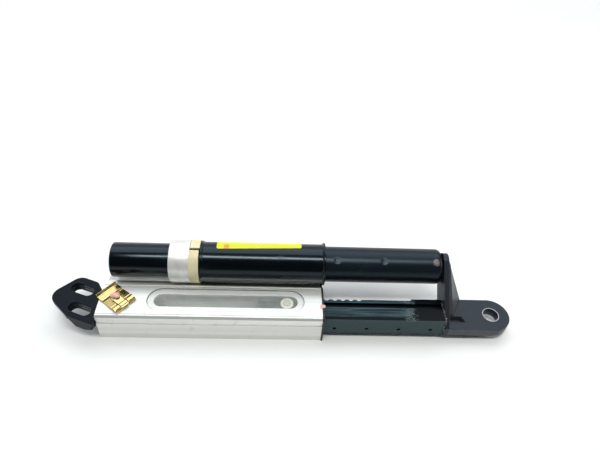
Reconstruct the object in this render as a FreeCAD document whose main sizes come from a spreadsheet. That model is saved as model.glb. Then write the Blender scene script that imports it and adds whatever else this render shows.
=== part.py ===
import FreeCAD, Part
import math
import os
import re
import Sketcher

# Telescoping stay with a gas strut beside its guide.
# The frame: +X runs along the stay from the hinge bracket to the fixing eye, +Y points back
# towards the strut tube, +Z points up. The origin lies on the guide housing's underside, on the
# centre line of its pins, half way along the housing.

doc = FreeCAD.newDocument("GasStrutStay")
sheet = doc.addObject("Spreadsheet::Sheet", "sizes")

driving_sizes = {
    # guide housing, an aluminium extrusion
    "housing_length": 172.0,
    "housing_depth": 32.0,
    "housing_height": 26.5,
    "front_to_centre": 17.5,
    "top_wall": 3.5,
    "floor_wall": 3.0,
    "front_wall": 2.6,
    "back_wall": 3.0,
    "edge_bevel": 1.6,
    "front_groove_top": 21.8,
    "front_groove_height": 4.2,
    "front_groove_depth": 0.8,
    "top_groove_inset": 1.7,
    "top_groove_width": 0.8,
    "top_groove_depth": 0.45,
    "saddle_lap": 2.3,
    "saddle_web": 3.5,
    "saddle_reach": 7.0,
    "leg_wall": 4.0,
    # window slot in the top wall
    "slot_width": 12.0,
    "window_seat": 5.2,
    "window_seat_depth": 1.2,
    "window_gap": 0.25,
    "window_sheet": 0.5,
    "slot_overrun": 2.5,
    # strut tube line
    "tube_line_back": 31.0,
    "tube_line_rise": 10.5,
    "tube_start_inset": 5.3,
    "base_tube_radius": 14.0,
    "base_tube_wall": 1.5,
    "cap_rim": 1.8,
    "cap_spigot": 5.0,
    "cap_round": 1.2,
    "bond_gap": 0.05,
    # collar, split ring and guard sleeve
    "collar_start_inset": 51.3,
    "collar_length": 16.1,
    "collar_wall": 1.5,
    "collar_step": 1.7,
    "collar_bevel": 0.5,
    "saddle_gap": 0.3,
    "split_ring_length": 7.4,
    "split_ring_wall": 1.6,
    "split_gap": 1.9,
    "split_angle": 100.0,
    "sleeve_gap": 0.45,
    "sleeve_wall": 1.2,
    "sleeve_overhang": 0.3,
    "lip_length": 2.2,
    "lip_flare": 1.4,
    "label_length": 67.5,
    "label_offset": 13.0,
    "label_thickness": 0.2,
    "label_wrap": 104.0,
    "label_start_angle": -14.0,
    # slider
    "stroke": 95.0,
    "rail_reach": 98.0,
    "rail_inside": 50.0,
    "rail_front": 14.1,
    "rail_depth": 20.1,
    "rail_bottom": 6.0,
    "rail_room": 0.3,
    "rail_skin": 4.0,
    "rail_wall": 3.0,
    "rail_groove_front": 1.6,
    "rail_groove_width": 4.4,
    "rail_groove_depth": 2.2,
    "rail_hole_radius": 1.5,
    "rail_hole_height": 11.3,
    "rail_hole_pitch": 25.6,
    "rail_hole_first": 10.8,
    "rail_rib": 1.5,
    "rail_rib_length": 26.0,
    "rail_rib_height": 8.0,
    "tooth_pitch": 6.5,
    "tooth_radius": 2.2,
    "tooth_depth": 1.3,
    "tooth_first": 67.5,
    "tooth_drop": 5.0,
    "tooth_count": 5,
    # stop pin in the window slot
    "stop_pin_radius": 2.5,
    "stop_pin_back": 27.5,
    "stop_head_radius": 3.1,
    "stop_head_height": 0.8,
    "stop_washer_radius": 5.1,
    "stop_washer_height": 1.6,
    # end bracket with its arm and eye
    "arm_thickness": 4.0,
    "arm_lean": 42.0,
    "arm_front": 13.7,
    "arm_behind": 5.0,
    "arm_past": 11.0,
    "arm_round": 7.0,
    "lug_thickness": 8.0,
    "lug_half_width": 15.0,
    "eye_reach": 41.8,
    "eye_bush_radius": 6.8,
    "eye_bore_radius": 6.25,
    "pocket_start": 6.5,
    "pocket_length": 12.5,
    "pocket_front": 8.0,
    "pocket_width": 5.6,
    "pocket_depth": 5.5,
    "gusset_foot": 6.2,
    "gusset_reach": 15.8,
    "gusset_front": 2.4,
    "gusset_height": 33.0,
    "gusset_tip": 1.6,
    "gusset_head_front": 7.6,
    "gusset_head_back": 1.5,
    # plunger tube and what it holds
    "plunger_radius": 14.35,
    "plunger_wall": 1.5,
    "plunger_length": 117.5,
    "plunger_round": 4.0,
    "dimple_first": 86.2,
    "dimple_second": 48.6,
    "dimple_ball": 6.5,
    "dimple_depth": 0.8,
    "spot_angle": 30.0,
    "rivet_radius": 2.9,
    "rivet_inset": 6.6,
    "rivet_sink": 0.1,
    "bush_wall": 1.75,
    "cylinder_wall": 1.5,
    "cylinder_length": 119.0,
    "plug_length": 10.2,
    "ring_width": 6.0,
    "bush_length": 8.0,
    "running_fit": 0.05,
    "guide_length": 8.0,
    "seal_length": 3.0,
    "seal_gap": 0.3,
    "rod_radius": 5.0,
    "rod_spigot_radius": 2.6,
    "rod_nub": 1.8,
    "piston_length": 5.0,
    "piston_gap": 2.7,
    "piston_groove": 1.6,
    "piston_groove_depth": 1.4,
    "piston_stud_radius": 3.2,
    # hinge bracket at the other end
    "pivot_inset": 12.4,
    "pivot_pin_radius": 3.0,
    "pivot_head_radius": 4.2,
    "pivot_head_height": 2.0,
    "pivot_bush_radius": 5.0,
    "pivot_washer_radius": 7.0,
    "pivot_spacer_radius": 6.0,
    "pivot_play": 0.1,
    "bracket_room": 0.5,
    "plate_thickness": 4.0,
    "bracket_swing": 21.0,
    "bracket_clearance": 0.8,
    "tongue_radius": 9.0,
    "bracket_back": 11.0,
    "bracket_front": 25.4,
    "fold_start": 27.2,
    "flange_depth": 11.0,
    "flange_wall": 3.5,
    "bolt_slot_width": 8.6,
    "bolt_slot_span": 10.2,
    "rear_slot_reach": 31.4,
    "rear_slot_offset": 0.2,
    "front_slot_reach": 21.7,
    "front_slot_offset": 16.4,
    "relief_length": 7.0,
    # spring clip over the pivot pin
    "clip_length": 23.0,
    "clip_width": 18.0,
    "clip_sheet": 1.2,
    "clip_turn": 39.0,
    "clip_offset": 1.0,
    "clip_lip": 3.2,
    "clip_window_length": 9.4,
    "clip_window_width": 4.2,
    "clip_step": 1.4,
    "clip_step_length": 4.6,
    # end wiper and plastic glides
    "wiper_thickness": 1.5,
    "wiper_proud": 0.4,
    "wiper_gap": 0.35,
    "glide_length": 124.0,
    "glide_floor": 2.6,
    "glide_front": 0.45,
    "glide_back": 3.3,
    # screws from below into the collar
    "screw_radius": 2.0,
    "screw_head_radius": 2.8,
    "screw_head_height": 2.2,
    "screw_spacing": 7.4,
    "screw_bite": 1.2,
    "screw_clearance": 0.05,
}

worked_out_sizes = {
    "housing_left": "-(housing_length / 2)",
    "housing_right": "housing_length / 2",
    "housing_front": "-(front_to_centre)",
    "housing_back": "housing_depth - front_to_centre",
    "cavity_front": "front_wall - front_to_centre",
    "cavity_back": "housing_depth - front_to_centre - back_wall",
    "cavity_top": "housing_height - top_wall",
    "pivot_along": "pivot_inset - housing_length / 2",
    "tube_start": "tube_start_inset - housing_length / 2",
    "collar_start": "collar_start_inset - housing_length / 2",
    "collar_seat": "collar_start_inset + collar_step - housing_length / 2",
    "sleeve_bore": "plunger_radius + sleeve_gap",
    "sleeve_radius": "plunger_radius + sleeve_gap + sleeve_wall",
    "collar_radius": "sleeve_radius + collar_wall",
    "plunger_bore": "plunger_radius - plunger_wall",
    "cylinder_radius": "plunger_radius - plunger_wall - bush_wall - bond_gap * 2",
    "saddle_radius": "collar_radius + saddle_gap",
    "tube_line_height": "housing_height + tube_line_rise",
    "saddle_top": "tube_line_height - saddle_radius + saddle_lap",
    "saddle_underside": "tube_line_height - saddle_radius - saddle_web",
    "rail_left": "housing_length / 2 - rail_inside",
    "rail_back": "rail_depth - rail_front",
    "rail_height": "housing_height - top_wall - rail_room - rail_bottom",
    "rail_top": "rail_bottom + rail_height",
    "stop_pin_along": "housing_length / 2 - stop_pin_back",
    "rail_end": "housing_length / 2 + rail_reach",
    "eye_along": "rail_end + eye_reach",
    "plunger_left": "rail_end - plunger_length",
    "plug_left": "rail_end - plunger_wall - plug_length",
    "cylinder_left": "rail_end - plunger_wall - plug_length - cylinder_length",
    "piston_left": "cylinder_left + guide_length + seal_gap + seal_length + piston_gap",
    "slot_left": "stop_pin_along - stroke - slot_overrun + housing_length / 2",
    "slot_right": "stop_pin_along + slot_overrun + housing_length / 2",
    "glide_left": "housing_right - glide_length",
    "spigot_radius": "base_tube_radius - base_tube_wall - bond_gap",
    "collar_bore": "sleeve_radius + bond_gap",
    "split_ring_radius": "sleeve_radius + split_ring_wall",
    "sleeve_length": "housing_right + sleeve_overhang + lip_length - collar_seat",
    "rod_shoulder": "rod_nub + cap_rim + cap_spigot",
    "rod_stud": "piston_left - tube_start + rod_nub",
    "cylinder_bore": "cylinder_radius - cylinder_wall",
    "piston_radius": "cylinder_bore - running_fit",
    "groove_left": "(piston_length - piston_groove) / 2",
    "rail_length": "rail_end - rail_left",
    "first_hole": "rail_length - rail_hole_first",
    "tube_level": "tube_line_height - rail_bottom",
    "arm_end_y": "tube_line_back + arm_past * cos(arm_lean)",
    "arm_end_z": "tube_level + arm_past * sin(arm_lean)",
    "rivet_reach": "plunger_radius - rivet_sink",
    "stop_edge_x": "-((pivot_inset + bracket_clearance) * cos(bracket_swing))",
    "stop_edge_y": "-((pivot_inset + bracket_clearance) * sin(bracket_swing))",
    "bracket_top": "housing_height - top_wall - bracket_room",
    "clip_top": "housing_height + clip_sheet",
    "clip_left": "clip_offset - clip_length / 2",
    "clip_right": "clip_offset + clip_length / 2",
}

# The first block of rows holds the driving sizes, the second what follows from them.
for row, (name, value) in enumerate(driving_sizes.items(), start=1):
    sheet.set(f"A{row}", name)
    sheet.set(f"B{row}", str(value))
    sheet.setAlias(f"B{row}", name)
for row, name in enumerate(worked_out_sizes, start=len(driving_sizes) + 1):
    sheet.set(f"A{row}", name)
    sheet.setAlias(f"B{row}", name)
for name, formula in worked_out_sizes.items():
    sheet.set(sheet.getCellFromAlias(name), f"={formula}")
doc.recompute()


# ---------------------------------------------------------------------------------------------
# ways of working shared by every piece

# The smallest length or volume, in mm or mm3, that counts as a difference.
noticeable = 0.01


def bound(formula):
    """The formula with each driving size written as a reference into the sheet."""
    def reference(word):
        text = word.group(0)
        known = text in driving_sizes or text in worked_out_sizes
        return f"sizes.{text}" if known else text
    return re.sub(r"[a-z][a-z_]*", reference, formula)


def number(formula):
    """The formula's value now, in mm or degrees."""
    value = sheet.evalExpression(bound(formula))
    return float(getattr(value, "Value", value))


def bind(thing, path, formula):
    thing.setExpression(path, bound(formula))


def place(piece, along="0", back="0", up="0"):
    """Sets a piece's Placement from formulas."""
    bind(piece, "Placement.Base.x", along)
    bind(piece, "Placement.Base.y", back)
    bind(piece, "Placement.Base.z", up)
    return piece


def new_body(name):
    piece = doc.addObject("PartDesign::Body", name)
    piece.Label = name
    return piece


def sketch_on(piece, role, lift="0", shift=("0", "0"), turn="0"):
    """A sketch on one of the body's own origin planes, moved off it by formulas."""
    sketch = piece.newObject("Sketcher::SketchObject", "Sketch")
    for feature in piece.Origin.OriginFeatures:
        if feature.Role == role:
            sketch.AttachmentSupport = (feature, [""])
    sketch.MapMode = "FlatFace"
    bind(sketch, "AttachmentOffset.Base.x", shift[0])
    bind(sketch, "AttachmentOffset.Base.y", shift[1])
    bind(sketch, "AttachmentOffset.Base.z", lift)
    bind(sketch, "AttachmentOffset.Rotation.Angle", turn)
    return sketch


def hold(sketch, kind, geometry, vertex, formula):
    """Holds one point of the sketch at a distance from the sketch's origin."""
    value = number(formula)
    if abs(value) < 1e-9:
        axis = -2 if kind == "DistanceX" else -1
        sketch.addConstraint(Sketcher.Constraint("PointOnObject", geometry, vertex, axis))
        return
    index = sketch.addConstraint(
        Sketcher.Constraint(kind, -1, 1, geometry, vertex, value))
    bind(sketch, f"Constraints[{index}]", formula)


def outline(sketch, corners):
    """A closed outline through corners given as pairs of formulas."""
    points = [FreeCAD.Vector(number(a), number(b), 0) for a, b in corners]
    first = sketch.GeometryCount
    count = len(points)
    for i in range(count):
        sketch.addGeometry(Part.LineSegment(points[i], points[(i + 1) % count]), False)
    for i in range(count):
        follower = first + (i + 1) % count
        sketch.addConstraint(Sketcher.Constraint("Coincident", first + i, 2, follower, 1))
    for i, (across, up) in enumerate(corners):
        hold(sketch, "DistanceX", first + i, 1, across)
        hold(sketch, "DistanceY", first + i, 1, up)
    return sketch


def circle(sketch, across, up, radius):
    """A full circle with its centre and radius held by formulas."""
    centre = FreeCAD.Vector(number(across), number(up), 0)
    up_axis = FreeCAD.Vector(0, 0, 1)
    index = sketch.addGeometry(Part.Circle(centre, up_axis, number(radius)), False)
    hold(sketch, "DistanceX", index, 3, across)
    hold(sketch, "DistanceY", index, 3, up)
    size = sketch.addConstraint(Sketcher.Constraint("Radius", index, number(radius)))
    bind(sketch, f"Constraints[{size}]", radius)
    return sketch


def obround(sketch, left, right, half_width):
    """A slot outline with round ends, its two centres on the sketch's own X axis."""
    a = number(left)
    b = number(right)
    w = number(half_width)
    quarter = math.pi / 2
    z = FreeCAD.Vector(0, 0, 1)
    right_circle = Part.Circle(FreeCAD.Vector(b, 0, 0), z, w)
    left_circle = Part.Circle(FreeCAD.Vector(a, 0, 0), z, w)
    upper = sketch.addGeometry(
        Part.LineSegment(FreeCAD.Vector(a, w, 0), FreeCAD.Vector(b, w, 0)), False)
    nose = sketch.addGeometry(Part.ArcOfCircle(right_circle, -quarter, quarter), False)
    lower = sketch.addGeometry(
        Part.LineSegment(FreeCAD.Vector(b, -w, 0), FreeCAD.Vector(a, -w, 0)), False)
    tail = sketch.addGeometry(Part.ArcOfCircle(left_circle, quarter, 3 * quarter), False)
    sketch.addConstraint(Sketcher.Constraint("Tangent", upper, 2, nose, 2))
    sketch.addConstraint(Sketcher.Constraint("Tangent", nose, 1, lower, 1))
    sketch.addConstraint(Sketcher.Constraint("Tangent", lower, 2, tail, 2))
    sketch.addConstraint(Sketcher.Constraint("Tangent", tail, 1, upper, 1))
    sketch.addConstraint(Sketcher.Constraint("PointOnObject", nose, 3, -1))
    sketch.addConstraint(Sketcher.Constraint("PointOnObject", tail, 3, -1))
    hold(sketch, "DistanceX", nose, 3, right)
    hold(sketch, "DistanceX", tail, 3, left)
    size = sketch.addConstraint(Sketcher.Constraint("Radius", nose, w))
    bind(sketch, f"Constraints[{size}]", half_width)
    return sketch


def pad(piece, sketch, length, backward=False):
    feature = piece.newObject("PartDesign::Pad", "Pad")
    feature.Profile = sketch
    feature.Reversed = backward
    bind(feature, "Length", length)
    doc.recompute()
    return feature


def cut(piece, sketch, length=None, backward=False, both_ways=False):
    """A pocket that has to take material away; with no length it goes right through."""
    doc.recompute()
    before = piece.Shape.Volume
    feature = piece.newObject("PartDesign::Pocket", "Pocket")
    feature.Profile = sketch
    feature.Reversed = backward
    if length is None:
        feature.Type = "ThroughAll"
        feature.Midplane = both_ways
    else:
        bind(feature, "Length", length)
    doc.recompute()
    if piece.Shape.Volume > before - noticeable:
        raise RuntimeError(f"a pocket of {piece.Label} cut nothing")
    return feature


def turned(name, steps, along, back="tube_line_back", up="tube_line_height"):
    """A piece turned on a lathe about X: steps are (distance along, radius) pairs of formulas."""
    piece = new_body(name)
    sketch = outline(sketch_on(piece, "XY_Plane"), steps)
    revolve(piece, sketch, "H_Axis")
    return place(piece, along, back, up)


def upright(name, steps, along, back="0", up="0"):
    """A piece turned about Z: steps are (radius, height) pairs of formulas."""
    piece = new_body(name)
    sketch = outline(sketch_on(piece, "XZ_Plane"), steps)
    revolve(piece, sketch, "V_Axis")
    return place(piece, along, back, up)


def revolve(piece, sketch, axis, angle="360"):
    feature = piece.newObject("PartDesign::Revolution", "Revolution")
    feature.Profile = sketch
    feature.ReferenceAxis = (sketch, [axis])
    bind(feature, "Angle", angle)
    doc.recompute()
    return feature


def ring_steps(length, outer, inner):
    """The section of a plain ring."""
    return [("0", inner), (length, inner), (length, outer), ("0", outer)]


def round_edges(piece, radius, wanted):
    """Rounds the edges of the body for which wanted(edge) is true."""
    doc.recompute()
    tip = piece.Tip
    names = [f"Edge{i + 1}" for i, edge in enumerate(tip.Shape.Edges) if wanted(edge)]
    if not names:
        raise RuntimeError(f"no edge of {piece.Label} to round")
    feature = piece.newObject("PartDesign::Fillet", "Fillet")
    feature.Base = (tip, names)
    bind(feature, "Radius", radius)
    doc.recompute()
    return feature


def straight_at(first, second, axes):
    """A test for the straight edge through a corner, seen along the axis it runs on."""
    a = number(first)
    b = number(second)

    def wanted(edge):
        ends = [v.Point for v in edge.Vertexes]
        if len(ends) != 2:
            return False
        near = all(
            abs(p[axes[0]] - a) < noticeable and abs(p[axes[1]] - b) < noticeable for p in ends)
        return near and ends[0].distanceToPoint(ends[1]) > 0.5
    return wanted


def upright_at(x_formula, y_formula):
    return straight_at(x_formula, y_formula, (0, 1))


def lengthwise_at(y_formula, z_formula):
    return straight_at(y_formula, z_formula, (1, 2))


def box(name, along, back, up, length, depth, height):
    """A plain rectangular piece."""
    piece = doc.addObject("Part::Box", name)
    piece.Label = name
    bind(piece, "Length", length)
    bind(piece, "Width", depth)
    bind(piece, "Height", height)
    return place(piece, along, back, up)


# ---------------------------------------------------------------------------------------------
# guide housing: a box channel with a saddle and a leg behind it, one extrusion

def housing_outline(sketch, grow="0"):
    """The extrusion's outer section; grow pushes the front and the top bevel outward."""
    front = f"(housing_front - {grow})"
    top = f"(housing_height + {grow} / 2)"
    leg_back = "(tube_line_back + saddle_reach)"
    leg_front = "(tube_line_back + saddle_reach - leg_wall)"
    return outline(sketch, [
        (front, "0"),
        (front, f"{top} - edge_bevel"),
        (f"{front} + edge_bevel", top),
        ("housing_back", top),
        ("housing_back", "saddle_top"),
        (leg_back, "saddle_top"),
        (leg_back, "0"),
        (leg_front, "0"),
        (leg_front, "saddle_underside"),
        ("housing_back", "saddle_underside"),
        ("housing_back", "0"),
    ])


guide_housing = new_body("guide_housing")
pad(guide_housing, housing_outline(sketch_on(guide_housing, "YZ_Plane")), "housing_length")
cut(guide_housing, circle(
    sketch_on(guide_housing, "YZ_Plane"),
    "tube_line_back", "tube_line_height", "saddle_radius"), both_ways=True)
cut(guide_housing, outline(sketch_on(guide_housing, "YZ_Plane"), [
    ("cavity_front", "floor_wall"),
    ("cavity_back", "floor_wall"),
    ("cavity_back", "cavity_top"),
    ("cavity_front", "cavity_top"),
]), both_ways=True)
cut(guide_housing, outline(sketch_on(guide_housing, "YZ_Plane"), [
    ("housing_front - 1", "front_groove_top - front_groove_height"),
    ("housing_front + front_groove_depth", "front_groove_top - front_groove_height"),
    ("housing_front + front_groove_depth", "front_groove_top"),
    ("housing_front - 1", "front_groove_top"),
]), both_ways=True)

# Two fine grooves run along the top, one inside each edge.
top_grooves = sketch_on(guide_housing, "YZ_Plane")
groove_starts = ("housing_front + edge_bevel + top_groove_inset - top_groove_width",
                 "housing_back - top_groove_inset")
for start in groove_starts:
    outline(top_grooves, [
        (start, "housing_height - top_groove_depth"),
        (f"{start} + top_groove_width", "housing_height - top_groove_depth"),
        (f"{start} + top_groove_width", "housing_height + 1"),
        (start, "housing_height + 1"),
    ])
cut(guide_housing, top_grooves, both_ways=True)

# The slot goes through the wall; round its mouth is a shallow seat for the clear window.
cut(guide_housing, obround(
    sketch_on(guide_housing, "XY_Plane", lift="housing_height"),
    "slot_left", "slot_right", "slot_width / 2 + window_seat"), "window_seat_depth")
cut(guide_housing, obround(
    sketch_on(guide_housing, "XY_Plane", lift="housing_height"),
    "slot_left", "slot_right", "slot_width / 2"), "top_wall + 1")

# Hole for the pivot pin through the top and the floor, and holes for the collar screws.
cut(guide_housing, circle(
    sketch_on(guide_housing, "XY_Plane"),
    "pivot_inset", "0", "pivot_pin_radius + running_fit"), both_ways=True)
screw_holes = sketch_on(guide_housing, "XY_Plane", lift="floor_wall")
for side in ("-", "+"):
    circle(screw_holes, f"collar_start_inset + collar_length / 2 {side} screw_spacing / 2",
           "tube_line_back", "screw_radius + screw_clearance")
cut(guide_housing, screw_holes, "saddle_top", backward=True)

# Relief in the back wall for the bracket's shoulder when it swings.
cut(guide_housing, outline(sketch_on(guide_housing, "XY_Plane", lift="cavity_top"), [
    ("-1", "cavity_back - 1"),
    ("relief_length", "cavity_back - 1"),
    ("relief_length", "housing_back + 1.5"),
    ("-1", "housing_back + 1.5"),
]), "housing_height - top_wall - floor_wall")
place(guide_housing, "housing_left")

# Clear window: a flat strip bedded in the seat round the slot.
slot_window = new_body("slot_window")
pad(slot_window, obround(
    sketch_on(slot_window, "XY_Plane"),
    "slot_left", "slot_right", "slot_width / 2 + window_seat - window_gap"), "window_sheet")
place(slot_window, "housing_left", "0", "housing_height - window_seat_depth + bond_gap")

# Thin black wiper plate over the housing's open right end, with a hole for the rail.
end_wiper = new_body("end_wiper")
pad(end_wiper, housing_outline(sketch_on(end_wiper, "YZ_Plane"), "wiper_proud"),
    "wiper_thickness")
cut(end_wiper, circle(
    sketch_on(end_wiper, "YZ_Plane"),
    "tube_line_back", "tube_line_height", "saddle_radius"), both_ways=True)
cut(end_wiper, outline(sketch_on(end_wiper, "YZ_Plane"), [
    ("-(rail_front) - wiper_gap", "rail_bottom - wiper_gap"),
    ("rail_back + rail_rib + wiper_gap", "rail_bottom - wiper_gap"),
    ("rail_back + rail_rib + wiper_gap", "rail_top + wiper_gap"),
    ("-(rail_front) - wiper_gap", "rail_top + wiper_gap"),
]), both_ways=True)
place(end_wiper, "housing_right")

# Plastic glides that line the cavity under, in front of and behind the rail.
glide_floor = box(
    "glide_floor", "glide_left", "cavity_front", "floor_wall",
    "glide_length", "cavity_back - cavity_front", "glide_floor")
glide_front = box(
    "glide_front", "glide_left", "cavity_front", "floor_wall + glide_floor",
    "glide_length", "glide_front", "cavity_top - floor_wall - glide_floor")
glide_back = box(
    "glide_back", "glide_left", "cavity_back - glide_back", "floor_wall + glide_floor",
    "glide_length", "glide_back", "cavity_top - floor_wall - glide_floor")


# ---------------------------------------------------------------------------------------------
# fixed side of the strut: base tube, cap, collar, split ring, guard sleeve, rod and piston

base_tube = turned(
    "base_tube",
    ring_steps("collar_seat - tube_start - cap_rim", "base_tube_radius",
               "base_tube_radius - base_tube_wall"),
    "tube_start + cap_rim")

base_cap = turned("base_cap", [
    ("0", "rod_spigot_radius + bond_gap"),
    ("cap_rim + cap_spigot", "rod_spigot_radius + bond_gap"),
    ("cap_rim + cap_spigot", "spigot_radius"),
    ("cap_rim", "spigot_radius"),
    ("cap_rim", "base_tube_radius"),
    ("cap_round", "base_tube_radius"),
    ("0", "base_tube_radius - cap_round"),
], "tube_start")

collar_ring = turned("collar_ring", [
    ("0", "base_tube_radius + bond_gap"),
    ("collar_step", "base_tube_radius + bond_gap"),
    ("collar_step", "collar_bore"),
    ("collar_length", "collar_bore"),
    ("collar_length", "collar_radius"),
    ("collar_bevel", "collar_radius"),
    ("0", "collar_radius - collar_bevel"),
], "collar_start")
collar_holes = sketch_on(collar_ring, "XY_Plane", lift="0")
for side in ("-", "+"):
    circle(collar_holes, f"collar_length / 2 {side} screw_spacing / 2", "0",
           "screw_radius + screw_clearance")
cut(collar_ring, collar_holes, "collar_radius + 1")

split_ring = turned(
    "split_ring", ring_steps("split_ring_length", "split_ring_radius", "collar_bore"),
    "collar_start + collar_length")
cut(split_ring, outline(sketch_on(split_ring, "XY_Plane"), [
    ("-1", "-(split_gap / 2)"),
    ("split_ring_length + 1", "-(split_gap / 2)"),
    ("split_ring_length + 1", "split_gap / 2"),
    ("-1", "split_gap / 2"),
]), "split_ring_radius + 1", backward=True)
split_ring.Placement.Rotation = FreeCAD.Rotation(FreeCAD.Vector(1, 0, 0), 1)
bind(split_ring, "Placement.Rotation.Angle", "split_angle - 90")

guard_sleeve = turned("guard_sleeve", [
    ("0", "sleeve_bore"),
    ("sleeve_length", "sleeve_bore"),
    ("sleeve_length", "sleeve_radius + lip_flare"),
    ("sleeve_length - lip_length / 2", "sleeve_radius + lip_flare"),
    ("sleeve_length - lip_length", "sleeve_radius"),
    ("0", "sleeve_radius"),
], "collar_seat")

# Label: a thin skin on the sleeve, wrapped from behind over the top.
sleeve_label = new_body("sleeve_label")
label_section = outline(sketch_on(sleeve_label, "XY_Plane"), ring_steps(
    "label_length", "sleeve_radius + label_thickness", "sleeve_radius"))
revolve(sleeve_label, label_section, "H_Axis", "label_wrap")
sleeve_label.Placement.Rotation = FreeCAD.Rotation(FreeCAD.Vector(1, 0, 0), 1)
bind(sleeve_label, "Placement.Rotation.Angle", "label_start_angle")
place(sleeve_label, "collar_start + collar_length + split_ring_length + label_offset",
      "tube_line_back", "tube_line_height")

# Rod: riveted into the cap at one end, reduced to a stud that carries the piston at the other.
piston_rod = turned("piston_rod", [
    ("0", "0"),
    ("rod_stud + piston_length", "0"),
    ("rod_stud + piston_length", "piston_stud_radius"),
    ("rod_stud", "piston_stud_radius"),
    ("rod_stud", "rod_radius"),
    ("rod_shoulder", "rod_radius"),
    ("rod_shoulder", "rod_spigot_radius"),
    ("0.5", "rod_spigot_radius"),
    ("0", "rod_spigot_radius - 0.5"),
], "tube_start - rod_nub")

piston = turned("piston", [
    ("0", "piston_stud_radius + bond_gap"),
    ("piston_length", "piston_stud_radius + bond_gap"),
    ("piston_length", "piston_radius"),
    ("groove_left + piston_groove", "piston_radius"),
    ("groove_left + piston_groove", "piston_radius - piston_groove_depth"),
    ("groove_left", "piston_radius - piston_groove_depth"),
    ("groove_left", "piston_radius"),
    ("0", "piston_radius"),
], "piston_left")
piston_seal = turned(
    "piston_seal",
    ring_steps("piston_groove - bond_gap * 2", "piston_radius",
               "piston_radius - piston_groove_depth + bond_gap"),
    "piston_left + groove_left + bond_gap")

# Screws that hold the collar down on the saddle.
screws = []
for side in ("-", "+"):
    shank = doc.addObject("Part::Cylinder", "ScrewShank")
    head = doc.addObject("Part::Cylinder", "ScrewHead")
    bind(shank, "Radius", "screw_radius")
    bind(shank, "Height", "tube_line_height - collar_radius + screw_bite"
         " - saddle_underside + screw_head_height / 2")
    bind(head, "Radius", "screw_head_radius")
    bind(head, "Height", "screw_head_height")
    screw_along = f"collar_start + collar_length / 2 {side} screw_spacing / 2"
    place(shank, screw_along, "tube_line_back", "saddle_underside - screw_head_height / 2")
    place(head, screw_along, "tube_line_back", "saddle_underside - screw_head_height")
    screw = doc.addObject("Part::Fuse", "Screw")
    screw.Base = shank
    screw.Tool = head
    screws.append(screw)
collar_screws = doc.addObject("Part::Compound", "collar_screws")
collar_screws.Label = "collar_screws"
collar_screws.Links = screws


# ---------------------------------------------------------------------------------------------
# slider: rail, stop pin, end bracket with its eye, plunger tube and gas cylinder

slider_rail = new_body("slider_rail")
pad(slider_rail, outline(sketch_on(slider_rail, "YZ_Plane"), [
    ("-(rail_front)", "0"),
    ("-(rail_front) + rail_wall", "0"),
    ("-(rail_front) + rail_wall", "rail_height - rail_skin"),
    ("rail_back - rail_wall", "rail_height - rail_skin"),
    ("rail_back - rail_wall", "0"),
    ("rail_back", "0"),
    ("rail_back", "rail_height"),
    ("rail_groove_width - rail_groove_front", "rail_height"),
    ("rail_groove_width - rail_groove_front", "rail_height - rail_groove_depth"),
    ("-(rail_groove_front)", "rail_height - rail_groove_depth"),
    ("-(rail_groove_front)", "rail_height"),
    ("-(rail_front)", "rail_height"),
]), "rail_length")
pad(slider_rail, outline(
    sketch_on(slider_rail, "XY_Plane", lift="rail_height - rail_rib_height"), [
        ("rail_length - rail_rib_length", "rail_back - 1"),
        ("rail_length", "rail_back - 1"),
        ("rail_length", "rail_back + rail_rib"),
        ("rail_length - rail_rib_length + rail_rib", "rail_back + rail_rib"),
    ]), "rail_rib_height")

# Small round holes along the front wall.
hole_count = 6
for i in range(hole_count):
    cut(slider_rail, circle(
        sketch_on(slider_rail, "XZ_Plane", lift="rail_front - rail_wall - 1"),
        f"first_hole - {i} * rail_hole_pitch", "rail_hole_height - rail_bottom",
        "rail_hole_radius"), "rail_wall + 2", backward=True)

# Scalloped teeth along the back edge of the top.
tooth_sketch = circle(
    sketch_on(slider_rail, "XY_Plane", lift="rail_height"),
    "rail_length - tooth_first", "rail_back + tooth_radius - tooth_depth",
    "tooth_radius")
tooth_cut = cut(slider_rail, tooth_sketch, "tooth_drop")
teeth = slider_rail.newObject("PartDesign::LinearPattern", "Teeth")
teeth.Originals = [tooth_cut]
teeth.Direction = (tooth_sketch, ["H_Axis"])
teeth.Reversed = True
bind(teeth, "Length", "tooth_pitch * (tooth_count - 1)")
bind(teeth, "Occurrences", "tooth_count")
slider_rail.Tip = teeth
doc.recompute()

# Hole for the stop pin in the floor of the groove.
cut(slider_rail, circle(
    sketch_on(slider_rail, "XY_Plane", lift="rail_height"),
    "stop_pin_along - rail_left", "0", "stop_pin_radius + bond_gap"), "rail_skin + 1")
place(slider_rail, "rail_left", "0", "rail_bottom")

stop_washer = upright("stop_washer", [
    ("stop_pin_radius + bond_gap", "0"),
    ("stop_washer_radius", "0"),
    ("stop_washer_radius", "stop_washer_height - 0.4"),
    ("stop_washer_radius - 0.4", "stop_washer_height"),
    ("stop_pin_radius + bond_gap", "stop_washer_height"),
], "stop_pin_along", "0", "rail_top")
stop_pin = upright("stop_pin", [
    ("0", "-(rail_skin)"),
    ("stop_pin_radius", "-(rail_skin)"),
    ("stop_pin_radius", "stop_washer_height"),
    ("stop_head_radius", "stop_washer_height"),
    ("stop_head_radius", "stop_washer_height + stop_head_height * 0.6"),
    ("stop_head_radius * 0.7", "stop_washer_height + stop_head_height"),
    ("0", "stop_washer_height + stop_head_height"),
], "stop_pin_along", "0", "rail_top")

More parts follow.
